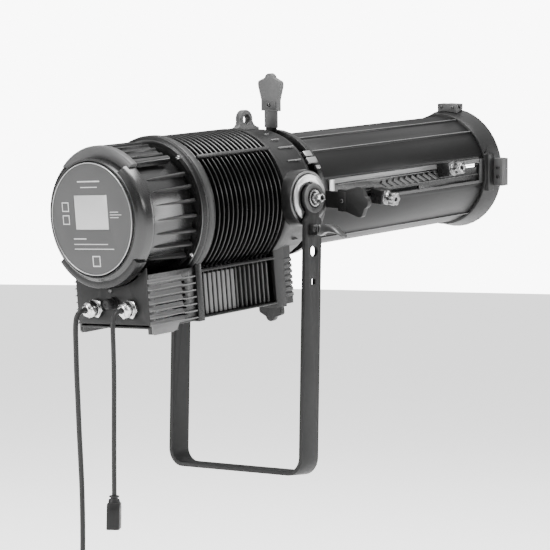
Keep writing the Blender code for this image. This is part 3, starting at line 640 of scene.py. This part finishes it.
def cord_piece(name, path, diameter, look):
    curve = bpy.data.curves.new(name, "CURVE")
    curve.dimensions = "3D"
    curve.bevel_depth = diameter / 2 * MM
    curve.bevel_resolution = 4
    curve.use_fill_caps = True
    spline = curve.splines.new("POLY")
    spline.points.add(len(path) - 1)
    for point, at in zip(spline.points, path):
        point.co = (*(at * MM), 1)
    curve.materials.append(FINISHES[look])
    made = bpy.data.objects.new(name, curve)
    bpy.context.scene.collection.objects.link(made)
    return made


def mains_lead():
    """The lead hangs from its gland, and its spare metre is tied in a round coil below."""
    centre = Vector(COIL_AT)
    layers = ((0.0, 0.0), (4.3, -4.0), (-4.3, -4.0), (0.0, -8.0), (0.0, -8.0))
    entry = [(-313, 31.4, -142), (-313, 32.4, -155), (-313, 33, -168)]
    whole = smooth_path(MAINS_ROUTE + entry, CORD_SPACING)
    last_point = COIL_TURNS * TURN_POINTS
    for i in range(1, last_point + 1):
        k, u = divmod(i / TURN_POINTS, 1.0)
        k = min(int(k), COIL_TURNS - 1)
        ease = 1.0 if i == last_point else u * u * (3 - 2 * u)
        (ax, ar), (bx, br) = layers[k], layers[k + 1]
        off, radius = ax + (bx - ax) * ease, COIL_D / 2 + 2 + ar + (br - ar) * ease
        a = -2 * math.pi * i / TURN_POINTS
        whole.append(centre + Vector((off, radius * math.cos(a), radius * math.sin(a))))
    last = whole[-1]
    end_y, end_z = centre.y + COIL_D / 2, centre.z - 37.4
    tail = [tuple(last), (centre.x, last.y + 0.7, last.z - 9), (centre.x, end_y - 1.6, last.z - 20),
            (centre.x, end_y - 0.2, end_z + 6), (centre.x, end_y, end_z)]
    whole += smooth_path(tail, 4.0)[1:]
    cord = cord_piece("mains_lead", whole, MAINS_D, "black_rubber")
    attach(cord, "head")
    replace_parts(cord, "mains_cord", "mains_coil")
    return cord, route_length(whole)


def cords():
    lead, length = mains_lead()
    x, y, z = COIL_AT
    relief = [(0, 0), (0, 5.6), (-3, 6.0), (-3.6, 4.9), (-5, 4.9), (-5.6, 6.2), (-8, 6.4), (-8.6, 5.3),
              (-10, 5.3), (-10.6, 6.7), (-13, 6.9), (-15, 7.2), (-17.5, 10.5), (-20, 14.4), (-24, 16.4),
              (-27, 17.0), (-40, 18.2), (-47, 18.5), (-48.6, 18.0), (-49, 17.0), (-49, 0)]
    form = lathe_form(relief, 64, "Z", (x, y + COIL_D / 2, z - 37))
    plug = piece("mains_plug_shape", form, "black_plastic", "head", WORLD)
    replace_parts(plug, "mains_plug")
    strap = lathe_form([(-2, 10.6), (-2.4, 11.4), (2.4, 11.4), (2, 10.6)], 32, "Y",
                       (x, y, z + COIL_D / 2 - 2), True)
    tie = piece("coil_tie", strap, "black_plastic", "head", WORLD)
    tuple(c * MM for c in MAINS_ROUTE[0])

    path = smooth_path(LINK_ROUTE, CORD_SPACING)
    link = cord_piece("link_lead", path, LINK_D, "black_rubber")
    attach(link, "head")
    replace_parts(link, "link_cord")
    connector = link_connector()
    tuple(c * MM for c in LINK_ROUTE[0])
    route_length(path) * MM


def link_connector():
    """Moulded appliance connector with a ribbed strain relief and a flat, square body."""
    x, y, z = LINK_ROUTE[-1]
    relief = [(-0.3, 0), (-0.3, 5.4), (-1, 7.2), (-2.6, 7.6), (-3.4, 7.2), (-3.6, 5.6), (-5.4, 5.6),
              (-5.6, 7.2), (-6.6, 7.9), (-9.5, 8.6), (-11, 8.6), (-11, 0)]
    outline = [(-9.5, -11), (9.5, -11), (12.4, -17), (12.9, -22), (12.9, -49), (12.2, -50), (-12.2, -50),
               (-12.9, -49), (-12.9, -22), (-12.4, -17)]
    body = plate_form([outline], 19.2, 1.8, "XZ")
    sockets = plate_form([[(-9, -46.5), (9, -46.5), (9, -28), (-9, -28)]], 19.6, 0.4, "XZ")
    turn = Matrix.Rotation(math.radians(CONNECTOR_TURN), 4, "Z")
    place = Matrix.Translation(Vector((x, y, z)) * MM) @ turn
    form = join_forms(lathe_form(relief, 48, "Z"), body, sockets)
    made = piece("link_connector_shape", form, "black_plastic", "head", place)
    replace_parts(made, "link_connector")
    return made


# ---- small fittings
def carry(look, *names):
    """CAD nodes that keep their own shape and get a finish."""
    for name in names:
        NODES[name].data.materials.clear()
        NODES[name].data.materials.append(FINISHES[look])


def cap_screw_form(radius):
    """Socket-head screw standing on Z = 0, with its recess."""
    height = radius * 0.9
    profile = [(0, 0), (0, radius), (height * 0.75, radius), (height, radius * 0.8),
               (height, radius * 0.55), (height * 0.35, radius * 0.5), (height * 0.35, 0)]
    return lathe_form(profile, 20, "Z")


def screws(name, spots, radius, look, body, place):
    """Screws at (x, y, z) with the direction that each one's head looks."""
    forms = []
    for at, direction in spots:
        form = cap_screw_form(radius)
        turn = Vector((0, 0, 1)).rotation_difference(Vector(direction)).to_matrix().to_4x4()
        form.transform(Matrix.Translation(at) @ turn)
        forms.append(form)
    return piece(name, join_forms(*forms), look, body, place, 40.0)


def sweep_form(profile, start, end, steps=48):
    """A closed (x, radius) profile turned part of the way round X, with flat ends."""
    form = bmesh.new()
    rings = []
    for i in range(steps + 1):
        u, v = polar(1.0, start + (end - start) * i / steps)
        rings.append([form.verts.new((x, radius * u, radius * v)) for x, radius in profile])
    n = len(profile)
    for a, b in zip(rings, rings[1:]):
        for i in range(n):
            form.faces.new((a[i], a[(i + 1) % n], b[(i + 1) % n], b[i]))
    form.faces.new(rings[0])
    form.faces.new(rings[-1])
    return form


def between(side, inner, outer, low, high):
    """Corners of a box from low to high in (x, z), standing off the middle plane on one side."""
    y0, y1 = sorted((side * inner, side * outer))
    return (low[0], y0, low[1]), (high[0], y1, high[1])


def softened(form, width):
    """Round the sharp edges of a form."""
    edges = [e for e in form.edges if len(e.link_faces) == 2 and e.calc_face_angle(0) > SHARP]
    bmesh.ops.bevel(form, geom=edges, offset=width, segments=3, affect="EDGES", profile=0.5)
    return form


def cover():
    """Rolled cup round the label, open at the top for the brow, and the hood below."""
    seat = [(-333.2, 60), (-333.2, 83.4), (-335.6, 84.2), (-337.0, 85.2), (-337.2, 86.6), (-336.2, 87.6),
            (-330.0, 88.2), (-316, 88.4), (-316, 60)]
    cup = [(-335.4, 84.5), (-336.4, 86.6), (-335.4, 88.8), (-333.2, 90.4), (-331.6, 92.6), (-330.0, 95.6),
           (-327.4, 97.8), (-323.4, 98.9), (-313.0, 99.9), (-309.6, 100.1), (-308.4, 99.6), (-307.9, 98.2),
           (-307.9, 84.5)]
    made = piece("cover_cup", softened(sweep_form(cup, 130.5, 409.5, 150), 1.2), "drum_gloss", "head",
                 smooth=50.0)
    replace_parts(made, "rear_cover")
    piece("cover_seat", lathe_form(seat, 160, closed=True), "satin_black", "head", smooth=50.0)
    for angle, name in ((51.5, "near"), (128.5, "far")):
        form = box_form((-317, -104.6, -4.2), (-232, -92, 4.2), 3.0, 4)
        form.transform(Matrix.Rotation(math.radians(-angle), 4, "X"))
        piece("block_cheek_" + name, form, "drum_gloss", "head", smooth=60.0)
    hood = [(-330.8, 88), (-331.6, 96), (-331.4, 101.6), (-330.2, 103.2), (-312.8, 103.5), (-311.2, 101.6),
            (-311.0, 88)]
    piece("cover_hood", softened(sweep_form(hood, 219, 321), 1.6), "satin_black", "head", smooth=40.0)
    brow = [(-318.2, 86), (-320.0, 90), (-320.6, 97.5), (-320.2, 103.0), (-318.8, 105.2), (-316.4, 106),
            (-309, 106), (-307.6, 105.2), (-306.4, 103), (-306.4, 86)]
    piece("brow", softened(sweep_form(brow, 47, 133), 2.2), "brow_grey", "head", smooth=40.0)


def drum_blade(degrees):
    """Wedge rib along the drum, pointed at the rear and deepest at the flange."""
    form = bmesh.new()
    rings = []
    for x, half, height in ((-293, 0.1, 0.1), (-284, 0.9, 3.4), (-262, 1.5, 5.4), (-240, 2.0, 7.0),
                            (-219, 2.4, 8.4), (-216.4, 2.2, 7.8), (-215.6, 1.8, 6.8)):
        ring = [(x, -half * 1.25, 88.2), (x, -half, 89 + height * 0.8), (x, -half * 0.6, 89 + height),
                (x, half * 0.6, 89 + height), (x, half, 89 + height * 0.8), (x, half * 1.25, 88.2)]
        rings.append([form.verts.new(point) for point in ring])
    for a, b in zip(rings, rings[1:]):
        for i in range(6):
            form.faces.new((a[i], a[(i + 1) % 6], b[(i + 1) % 6], b[i]))
    form.faces.new(rings[0])
    form.faces.new(rings[-1])
    form.transform(Matrix.Rotation(math.radians(degrees - 90), 4, "X"))
    return form


# ---- rear of the head
def rear_of_head():
    cover()
    refined("label_plate", "label_grey", 0.25)
    refined("touch_screen", "screen_glass", 0.3)
    refined("top_block", "satin_black", 0.5)
    drum = [(-305.4, 70), (-305.4, 89), (-219, 89.4), (-216.5, 88.6), (-215.2, 86), (-213.6, 86),
            (-213.6, 70)]
    made = piece("drum_shape", lathe_form(drum, 144, closed=True), "drum_gloss", "head")
    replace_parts(made, "ribbed_drum")
    blades = []
    for mirrored in (False, True):
        for degrees in (-45, -31.5, -18.2, -4.5, 9.5, 22.5, 35.5):
            blades.append(drum_blade(180 - degrees if mirrored else degrees))
    # The ribs take a lighter grey than the gloss drum they belong to: painted highlight along the ribs.
    piece("drum_blades", join_forms(*blades), "panel_grey", "head", smooth=24.0)
    carry("board_green", "display_board")
    rim = [(-338.6, 81.6), (-339.0, 82.2), (-338.6, 82.9), (-333.6, 83.6), (-333.2, 83.0), (-333.6, 82.2)]
    piece("label_rim", lathe_form(rim, 128, closed=True), "rail_metal", "head")
    flange = [(-213, 78), (-213, 106.2), (-212.6, 107), (-211, 110.6), (-210, 111.4), (-209, 111.5),
              (-194.6, 111.5), (-193.4, 111.2), (-192, 110), (-192, 78)]
    made = piece("rear_flange_shape", lathe_form(flange, 144, closed=True), "satin_black", "head")
    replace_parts(made, "rear_flange")
    band = [(-206.5, 110), (-206.2, 111.9), (-205.6, 112.2), (-195.4, 112.2), (-194.8, 111.9),
            (-194.4, 110)]
    piece("flange_band", lathe_form(band, 160, closed=True), "panel_grey", "head")
    lip = [(-213.6, 99), (-214.2, 100), (-214.2, 105.4), (-213.3, 106.4), (-212.8, 99)]
    piece("flange_lip", lathe_form(lip, 144, closed=True), "dark_steel", "head")
    screw = cap_screw_form(3.4)
    screw.transform(Matrix.Translation((-213.8, 0, 102)) @ Matrix.Rotation(-math.pi / 2, 4, "Y"))
    screw.transform(Matrix.Rotation(math.radians(40), 4, "X"))
    repeated("flange_screws", screw, 4, (90, 0, 0), "bright_steel", "head", ring=True, smooth=40.0)
    printed_marks()


def printed_marks():
    """Plain printed rules and boxes round the screen, with no lettering."""
    forms = []
    for y0, y1, z, height in ((-22, 24, 55, 1.8), (-16, 18, 46.5, 1.2), (14, 40, -29, 1.6),
                              (-30, 40, -37, 1.1), (-42, 40, -44, 1.1), (-56, -39, 10, 0.9),
                              (-62, -39, 6, 0.9), (-56, -39, 2, 0.9)):
        forms.append(box_form((-338.15, y0, z - height / 2), (-337.9, y1, z + height / 2), 0))
    for y, z, size in ((53, 18, 7), (53, -1, 7), (-4, -62, 8)):
        outline = [(y - size, z - size), (y + size, z - size), (y + size, z + size), (y - size, z + size)]
        inner = [(y + (u - y) * 0.8, z + (v - z) * 0.8) for u, v in outline]
        forms.append(plate_form([outline, inner], 0.25, 0.02, "YZ", (-338.03, 0, 0)))
    piece("printed_marks", join_forms(*forms), "print_white", "head")


# ---- middle of the head
def heat_sink():
    """A smooth core and sixteen turned fins with rounded rims."""
    end = FIN_X0 + FIN_COUNT * FIN_PITCH
    core = [(FIN_X0 + 0.4, 52), (FIN_X0 + 0.4, 62.5), (end - 5, 62.5), (end - 5, 97), (end - 4, 98),
            (end - 0.6, 98), (end, 97.4), (end, 0.5), (end - 9, 0.5), (end - 9, 52)]
    made = piece("heat_sink_core", lathe_form(core, 96, closed=True), "heat_sink_black", "head")
    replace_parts(made, "heat_sink")
    fin = [(0, 58), (0, 108.8), (0.35, 109.6), (1.2, 110), (2.05, 109.6), (2.4, 108.8), (2.4, 58)]
    form = lathe_form(fin, 128, closed=True)
    form.transform(Matrix.Translation((FIN_X0, 0, 0)))
    repeated("heat_sink_fins", form, FIN_COUNT, (FIN_PITCH, 0, 0), "heat_sink_black", "head")
    for side in ("near", "far"):
        refined("tie_bar_" + side, "panel_grey", 0.9)
    refined("lower_fins", "panel_grey", 0.25)
    half = FIN_COUNT // 2
    for side, name in SIDES:
        # Both sets of lips are lighter than the fins, and the rear eight are wider and lighter than the
        # front eight: painted highlight along the fin edges.
        for start, wide, look in ((0, 6.4, "slat_grey"), (half, 3.0, "clip_and_highlight_grey")):
            x = FIN_X0 + 0.4 + start * FIN_PITCH
            lip = box_form(*between(side, 65, 67.4, (x, -158.6), (x + wide, -98.5)))
            repeated("lower_fin_lips_%s_%d" % (name, start), lip, half, (FIN_PITCH, 0, 0), look, "head")
    refined("lower_frame", "satin_black", 0.7)
    carry("board_green", "led_board")
    carry("led_yellow", "led_array")
    refined("collimator", "mirror", 0.3)
    refined("gate_plate", "dark_steel", 0.3)
    carry("black_plastic", "fan_frame", "fan_rotor")
    carry("bare_aluminium", "driver_unit")


# ---- front of the head
def front_of_head():
    refined("front_housing", "cast_black", 0.8)
    outline = [(-19, 104), (-19, 108.6), (-11, 110.6), (-6.5, 114.5)]
    outline += arc((9, 122), 14.2, 192, -12, 20)
    outline += [(24.5, 114.5), (29, 110.2), (37, 107.4), (37, 100.5), (9, 102)]
    ear = plate_form([outline, arc((9, 121), 7.2, 0, 350, 35)], 12, 1.6, "XZ")
    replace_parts(piece("eyelet_shape", ear, "clip_and_highlight_grey", "head", smooth=50.0), "safety_eyelet")
    for side in ("near", "far"):
        refined("tilt_disc_" + side, "bare_aluminium", 0.5)
    ribs = []
    spots = ((65, 3, 13), (55.5, 1, 19), (45, -1, 35), (31, 1, 32), (21, 2, 33), (-40, 11, 22))
    for angle, x0, x1 in spots + tuple((180 - angle, x0, x1) for angle, x0, x1 in spots):
        form = box_form((x0, -107.6, -1.1), (x1, -103.6, 1.1), 0.7)
        form.transform(Matrix.Rotation(math.radians(-angle), 4, "X"))
        ribs.append(form)
    # The housing ribs take a light grey on the black casting: painted highlight on the rib tops.
    piece("housing_ribs", join_forms(*ribs), "slat_grey", "head")
    for side, name in SIDES:
        # The foot ribs take a lighter grey than the black casting: painted highlight on the rib tops.
        rib = box_form(*between(side, 70, 72.6, (-4.8, -156.2), (15.2, -150.4)), 1.2)
        repeated("foot_ribs_" + name, rib, 7, (0, 0, 9.0), "clip_and_highlight_grey", "head")
    for side, name in SIDES:
        ring = [(side * x, radius) for x, radius in ((127.9, 38), (128.4, 38.4), (128.4, 41.6),
                                                     (127.6, 42.4), (127.0, 42.4), (127.0, 38))]
        piece("boss_rim_" + name, lathe_form(ring, 96, "Y", (0, 0, -3), True), "dark_steel", "head")
        hub = [(side * x, radius) for x, radius in ((128.2, 6), (128.2, 15.4), (130.8, 16), (132.6, 15.4),
                                                    (132.6, 6))]
        piece("hub_washer_" + name, lathe_form(hub, 64, "Y", (0, 0, -3), True), "black_plastic", "head")


def driver_case():
    """Case with seven pressed louvres on each flank, the panel and its fittings."""
    refined("driver_case", "satin_black", 0.8)
    refined("rear_panel", "plate_black", 0.5)
    louvre = [(-4.6, 71.0), (2.4, 71.0), (2.8, 73.2), (-2.6, 75.6), (-3.2, 78.2), (-4.4, 78.2),
              (-4.9, 76.0)]
    for side, name in SIDES:
        # The louvres, their lips and the foot skin take a light grey on the black case: painted highlight.
        slat = plate_form([[(side * y, z) for z, y in louvre]], 71, 0.1, "YZ", (-272.5, 0, -93.4))
        repeated("louvres_" + name, slat, *LOUVRES, "slat_grey", "head", smooth=30.0)
        lip = box_form(*between(side, 73.6, 78.2, (-238, -99.0), (-210, -97.0)))
        repeated("louvre_lips_" + name, lip, *LOUVRES, "slat_grey", "head")
        sole = [(-306, -171), (-303, -174), (-264, -174), (-255, -171), (-249, -162), (-209.5, -161),
                (-209.5, -159.5), (-306, -159.5)]
        foot = plate_form([sole], 3.0, 0.8, "XZ", (0, side * 75.4, 0))
        piece("foot_skin_" + name, foot, "slat_grey", "head")
    dome = [(PANEL_X, 0), (PANEL_X, 4.2), (PANEL_X - 1.2, 3.8), (PANEL_X - 2.2, 2.4), (PANEL_X - 2.6, 0)]
    piece("panel_button", lathe_form(dome, 32, "X", (0, 2, -108.6)), "dark_steel", "head")
    glands()


def glands():
    """Plated cable glands: a hexagon body, a knurled dome nut and the seal round the cord."""
    for node, (y, tip, cord) in GLANDS.items():
        at = HEAD @ Matrix.Translation(Vector((0, y, GLAND_Z)) * MM)
        nut = plate_form([[polar(14.6, 60 * i + 12) for i in range(6)]], 5.4, 0.7, "YZ",
                         (PANEL_X - 3.2, 0, 0))
        collar = lathe_form([(-304, 8), (-304, 10.0), (-309.4, 10.0), (-315, 11.4), (-317.6, 11.4),
                             (-318.2, 10.8), (-319.4, 10.8), (-319.4, 8)], 48, closed=True)
        cap = plate_form([[polar(12.9, 60 * i + 40) for i in range(6)]], 8.0, 1.0, "YZ", (-323.6, 0, 0))
        bore = cord / 2 + 0.35
        dome = lathe_form([(-320, bore), (-320, 11.9), (tip + 8.4, 11.9), (tip + 5, 11.0), (tip + 2, 9.4),
                           (tip + 0.5, 7.6), (tip, 6.4), (tip, bore)], 48, closed=True)
        made = piece(node + "_shape", join_forms(nut, collar, cap, dome), "bright_steel", "head", at, 30.0)
        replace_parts(made, node)
        seal = lathe_form([(tip + 1, bore - 0.05), (tip + 1, bore + 1.1), (tip - 0.5, bore + 0.7),
                           (tip - 0.5, bore - 0.05)], 32, closed=True)
        piece(node + "_seal", seal, "black_rubber", "head", at)
    at = Matrix.Translation(Vector((0, -5, -127)) * MM)
    holder = [(-300, 0), (-300, 6), (-309.3, 6), (-309.3, 9.0), (-310, 9.4), (-311.4, 9.4), (-312, 8.8),
              (-317, 8.8), (-317, 0)]
    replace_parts(piece("fuse_holder_shape", lathe_form(holder, 40), "black_plastic", "head", HEAD @ at),
                "fuse_holder")
    outline = [polar(8.0 if i % 2 else 7.3, 15 * i) for i in range(24)]
    grip = plate_form([outline], 8.6, 0.5, "YZ", (-322, 0, 0))
    cap = lathe_form([(-317.4, 0), (-317.4, 7.4), (-319, 7.4), (-327, 6.8), (-328, 6.0), (-328, 2.4),
                      (-327, 2.0), (-327, 0)], 40)
    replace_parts(piece("fuse_cap_shape", join_forms(grip, cap), "black_plastic", "fuse_cap", HEAD @ at),
                "fuse_cap")


# ---- yoke
def yoke():
    refined("yoke", "yoke_paint", 0.9, 2)
    refined("clamp_clevis", "dark_steel", 0.5)
    cam_lever()
    for side, name in SIDES:
        trunnion(side, name)


def trunnion(side, name):
    """Raised eye of the arm, a dished washer and the hollow hexagon stud in it; the eye is painted lighter
    as painted highlight, and a black ring and a black plug sit in the shadowed gaps as painted shade.
    """
    at = Matrix.Translation(PIVOT) @ Matrix.Rotation(side * math.pi / -2, 4, "X")
    eye = [(139.9, 15.2), (139.9, 22.4), (140.5, 23.0), (141.2, 22.6), (141.6, 17.2), (141.2, 15.8)]
    # The eye takes a lighter grey than the yoke: painted highlight on the raised ring.
    piece("arm_eye_" + name, lathe_form(eye, 72, "Z", closed=True), "clip_and_highlight_grey", "yoke", at)
    # A thin black ring between the eye and the washer: painted shadow.
    shadow = [(140.05, 12.0), (140.05, 15.6), (140.35, 15.6), (140.35, 12.0)]
    piece("arm_recess_" + name, lathe_form(shadow, 64, "Z", closed=True), "black_plastic", "yoke", at)
    cup = lathe_form([(140.3, 8.6), (140.3, 12.2), (141.4, 12.9), (142.6, 12.6), (142.9, 11.6),
                      (141.9, 10.6), (141.4, 8.6)], 64, "Z", closed=True)
    nut = plate_form([[polar(9.0, 60 * i + 8) for i in range(6)], arc((0, 0), 5.6, 0, 345, 23)], 4.4, 0.6,
                     "XY", (0, 0, 144.2))
    stud = plate_form([[polar(6.7, 60 * i + 20) for i in range(6)], arc((0, 0), 4.1, 0, 345, 23)], 16.5,
                      0.5, "XY", (0, 0, 148.4))
    # A black plug in the hollow stud and under the washer: painted shade.
    painted_shade_plug = lathe_form([(141, 0), (141, 9), (142.4, 9), (142.4, 4.4), (150.4, 4.4), (150.4, 0)], 40, "Z")
    made = piece("stud_" + name, join_forms(cup, nut, stud), "stud_metal", "yoke", at)
    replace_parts(made, "trunnion_bolt_" + name)
    piece("stud_well_" + name, painted_shade_plug, "black_plastic", "yoke", at)
    shank = lathe_form([(108.2, 0), (108.2, 4.6), (108.6, 4.95), (140.4, 4.95), (140.4, 0)], 40, "Z")
    piece("stud_shank_" + name, shank, "stud_metal", "yoke", at)


def cam_lever():
    """Scooped paddle: a round cam at the pin and a blade that droops and widens outward."""
    hinge = Matrix.Translation(CAM_HINGE)
    form = bmesh.new()
    path = ((-6, 0.2, 8.2, 6.6), (-14, 2.6, 6.4, 7.4), (-24, 2.2, 6.0, 8.6), (-34, -0.6, 4.6, 9.4),
            (-42, -4.6, 3.2, 9.4), (-47.4, -8.8, 2.0, 8.2), (-49.0, -10.4, 1.2, 6.0))
    rings = []
    for y, z, half, wide in path:
        ring = []
        for i in range(20):
            a = 2 * math.pi * i / 20
            u, v = math.cos(a), math.sin(a)
            lift = (abs(v) ** 0.6) * (1 if v > 0 else -1)
            ring.append(form.verts.new((wide * (abs(u) ** 0.7) * (1 if u > 0 else -1), y, z + half * lift)))
        rings.append(ring)
    for a, b in zip(rings, rings[1:]):
        for i in range(20):
            form.faces.new((a[i], a[(i + 1) % 20], b[(i + 1) % 20], b[i]))
    form.faces.new(rings[0])
    form.faces.new(rings[-1])
    hub = lathe_form([(-6.7, 2.4), (-6.7, 8.0), (-6.1, 8.6), (6.1, 8.6), (6.7, 8.0), (6.7, 2.4)], 40,
                     closed=True)
    pin = lathe_form([(-9.4, 0), (-9.4, 2.0), (-9.0, 2.4), (9.0, 2.4), (9.4, 2.0), (9.4, 0)], 24)
    made = piece("cam_lever_shape", join_forms(form, hub, pin), "lever_paint", "cam_lever", hinge, 55.0)
    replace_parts(made, "cam_lever")


# ---- barrel
def collar():
    refined("shutter_collar", "satin_black", 0.6)
    blocks = []
    for angle, width, x0, x1 in ((41.8, 6.4, 50, 67), (35.0, 6.4, 49, 71), (27.6, 3.4, 62, 72)):
        for mirror in (angle, 180 - angle):
            form = box_form((x0, -104.4, -width), (x1, -99.6, width * 0.6), 0.8)
            form.transform(Matrix.Rotation(math.radians(-mirror), 4, "X"))
            blocks.append(form)
    piece("collar_clamps", join_forms(*blocks), "rail_metal", "barrel", BARREL)


def tube():
    refined("lens_tube", "tube_black", 0.35)
    refined("slide_plate", "satin_black", 0.3)
    # Thin light strips along the rib edges of the black tube: painted highlight where the edges catch the
    # light.
    lines = []
    for angle in (47, 69, -51, 133, 111, 231):
        form = box_form((80, -93.95, 0.3), (506.5, -93.0, 1.3), 0.3)
        form.transform(Matrix.Rotation(math.radians(-angle), 4, "X"))
        lines.append(form)
    piece("tube_rib_edges", join_forms(*lines), "rib_edge_highlight", "barrel", BARREL)
    x0, x1 = 101.0, 503.0
    for name, low, high, look, edge in (
            ("rail_top", (x0, -91.6, 17.4), (x1, -86.2, 24.4), "rail_paint", 0.8),
            ("rail_upper_edge", (x0 + 18, -90.0, 14.0), (x1, -87.6, 15.2), "rail_paint", 0.7),
            ("rail_lower_edge", (x0 + 18, -90.0, -2.4), (x1, -87.6, -0.9), "clip_and_highlight_grey", 0.7),
            ("rail_bottom", (x0, -91.6, -16.8), (x1, -86.2, -12.4), "clip_and_highlight_grey", 0.8),
            ("end_stop", (94.5, -92.4, -16.0), (107, -87, 24.2), "rail_metal", 1.0),
            ("channel_end", (492.5, -92.2, -16.2), (506.8, -85.2, 24.4), "cast_black", 0.8)):
        piece(name, box_form(low, high, edge), look, "barrel", BARREL, 40.0)
    thread = box_form((-2.6, -90.4, -12), (2.6, -87.9, 12), 0.9)
    thread.transform(Matrix.Translation((240, 0, 3.4)) @ Matrix.Rotation(math.radians(-64), 4, "Y"))
    repeated("adjusting_thread", thread, 10, (15.5, 0, 0.45), "clip_and_highlight_grey", "barrel", BARREL)


def knob_form():
    """Lobed clamp knob standing on the lock block, with its bushing and central recess."""
    lobes = []
    for i in range(60):
        a = 2 * math.pi * i / 60
        radius = 10.2 + 1.0 * math.cos(6 * a)
        lobes.append((radius * math.cos(a), radius * math.sin(a)))
    hole = arc((0, 0), 3.1, 0, 345, 23)
    head = plate_form([lobes, hole], 11.0, 1.2, "XY", (0, 0, 132.2))
    stem = lathe_form([(117.9, 0), (117.9, 11.4), (118.6, 11.9), (119.9, 11.9), (120.4, 11.2), (120.9, 9.2),
                       (122, 8.6), (126.8, 8.6), (126.8, 0)], 48, "Z")
    floor = lathe_form([(127, 0), (127, 3.2), (133, 3.2), (133, 0)], 24, "Z")
    return join_forms(head, stem, floor)


def lenses():
    glass = [(-2.7, 0), (-2.7, 75.4), (-2.2, 75.9), (2.2, 75.9), (2.7, 75.4), (2.9, 72)]
    glass += [(12.2 - 9.3 * (r / 72.0) ** 2, r) for r in (66, 60, 52, 44, 34, 22, 10, 0)]
    for name, (angle, x) in LENSES.items():
        at = BARREL @ Matrix.Translation((x * MM, 0, 0))
        body = name + "_carriage"
        refined("carriage_" + name, "satin_black", 0.6)
        made = piece("lens_%s_shape" % name, lathe_form(glass, 96), "lens_glass", body, at, 60.0)
        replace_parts(made, "lens_" + name)
        out = at @ Matrix.Rotation(math.radians(90 - angle), 4, "X")
        knob = piece("knob_%s_shape" % name, knob_form(), "knob_metal", name + "_knob", out, 36.0)
        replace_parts(knob, "knob_" + name)
        washer = [(117.45, 4), (117.45, 11.9), (117.75, 11.9), (117.75, 4)]
        piece("lock_washer_" + name, lathe_form(washer, 48, "Z", closed=True), "bright_steel", body, out)


def shutters():
    for name, (turn, reach, x) in SHUTTERS.items():
        body = "shutter_" + name
        at = BARREL @ Matrix.Translation((x * MM, 0, 0)) @ Matrix.Rotation(math.radians(turn), 4, "X")
        refined("shutter_" + name, "blade_steel", 0.15)
        dark = name in ("near", "bottom")
        refined("grip_" + name, "black_plastic" if dark else "grip_light", 1.5, 3)
        base = reach - 60
        rest = box_form((-5.6, -14, base + 3), (5.6, 14, base + 17), 1.4)
        piece("grip_clamp_" + name, rest, "black_plastic" if dark else "clip_and_highlight_grey", body, at, 40.0)
        spots = [((way * 5.5, 0, base + 10), (way, 0, 0)) for way in (-1, 1)]
        screws("grip_screws_" + name, spots, 3.0, "dark_steel", body, at)


def front_end():
    refined("front_ring", "cast_black", 0.8)
    refined("frame_clip", "clip_and_highlight_grey", 0.9)
    refined("side_clip", "clip_and_highlight_grey", 0.9)
    refined("frame_latch", "dark_steel", 0.5)
    screws("side_clip_screws", [((524.4, -108.5, 7.6), (-1, 0, 0)), ((524.4, -108.5, -7.9), (-1, 0, 0))],
           3.3, "black_plastic", "barrel", BARREL)
    screws("clip_screws", [((533.5, -20.4, 108.6), (0, -1, 0)), ((524.4, -12, 106), (-1, 0, 0)),
                           ((524.4, 12, 106), (-1, 0, 0))], 2.6, "dark_steel", "barrel", BARREL)


camera()
studio()
cords()
rear_of_head()
heat_sink()
front_of_head()
driver_case()
yoke()
collar()
tube()
lenses()
shutters()
front_end()
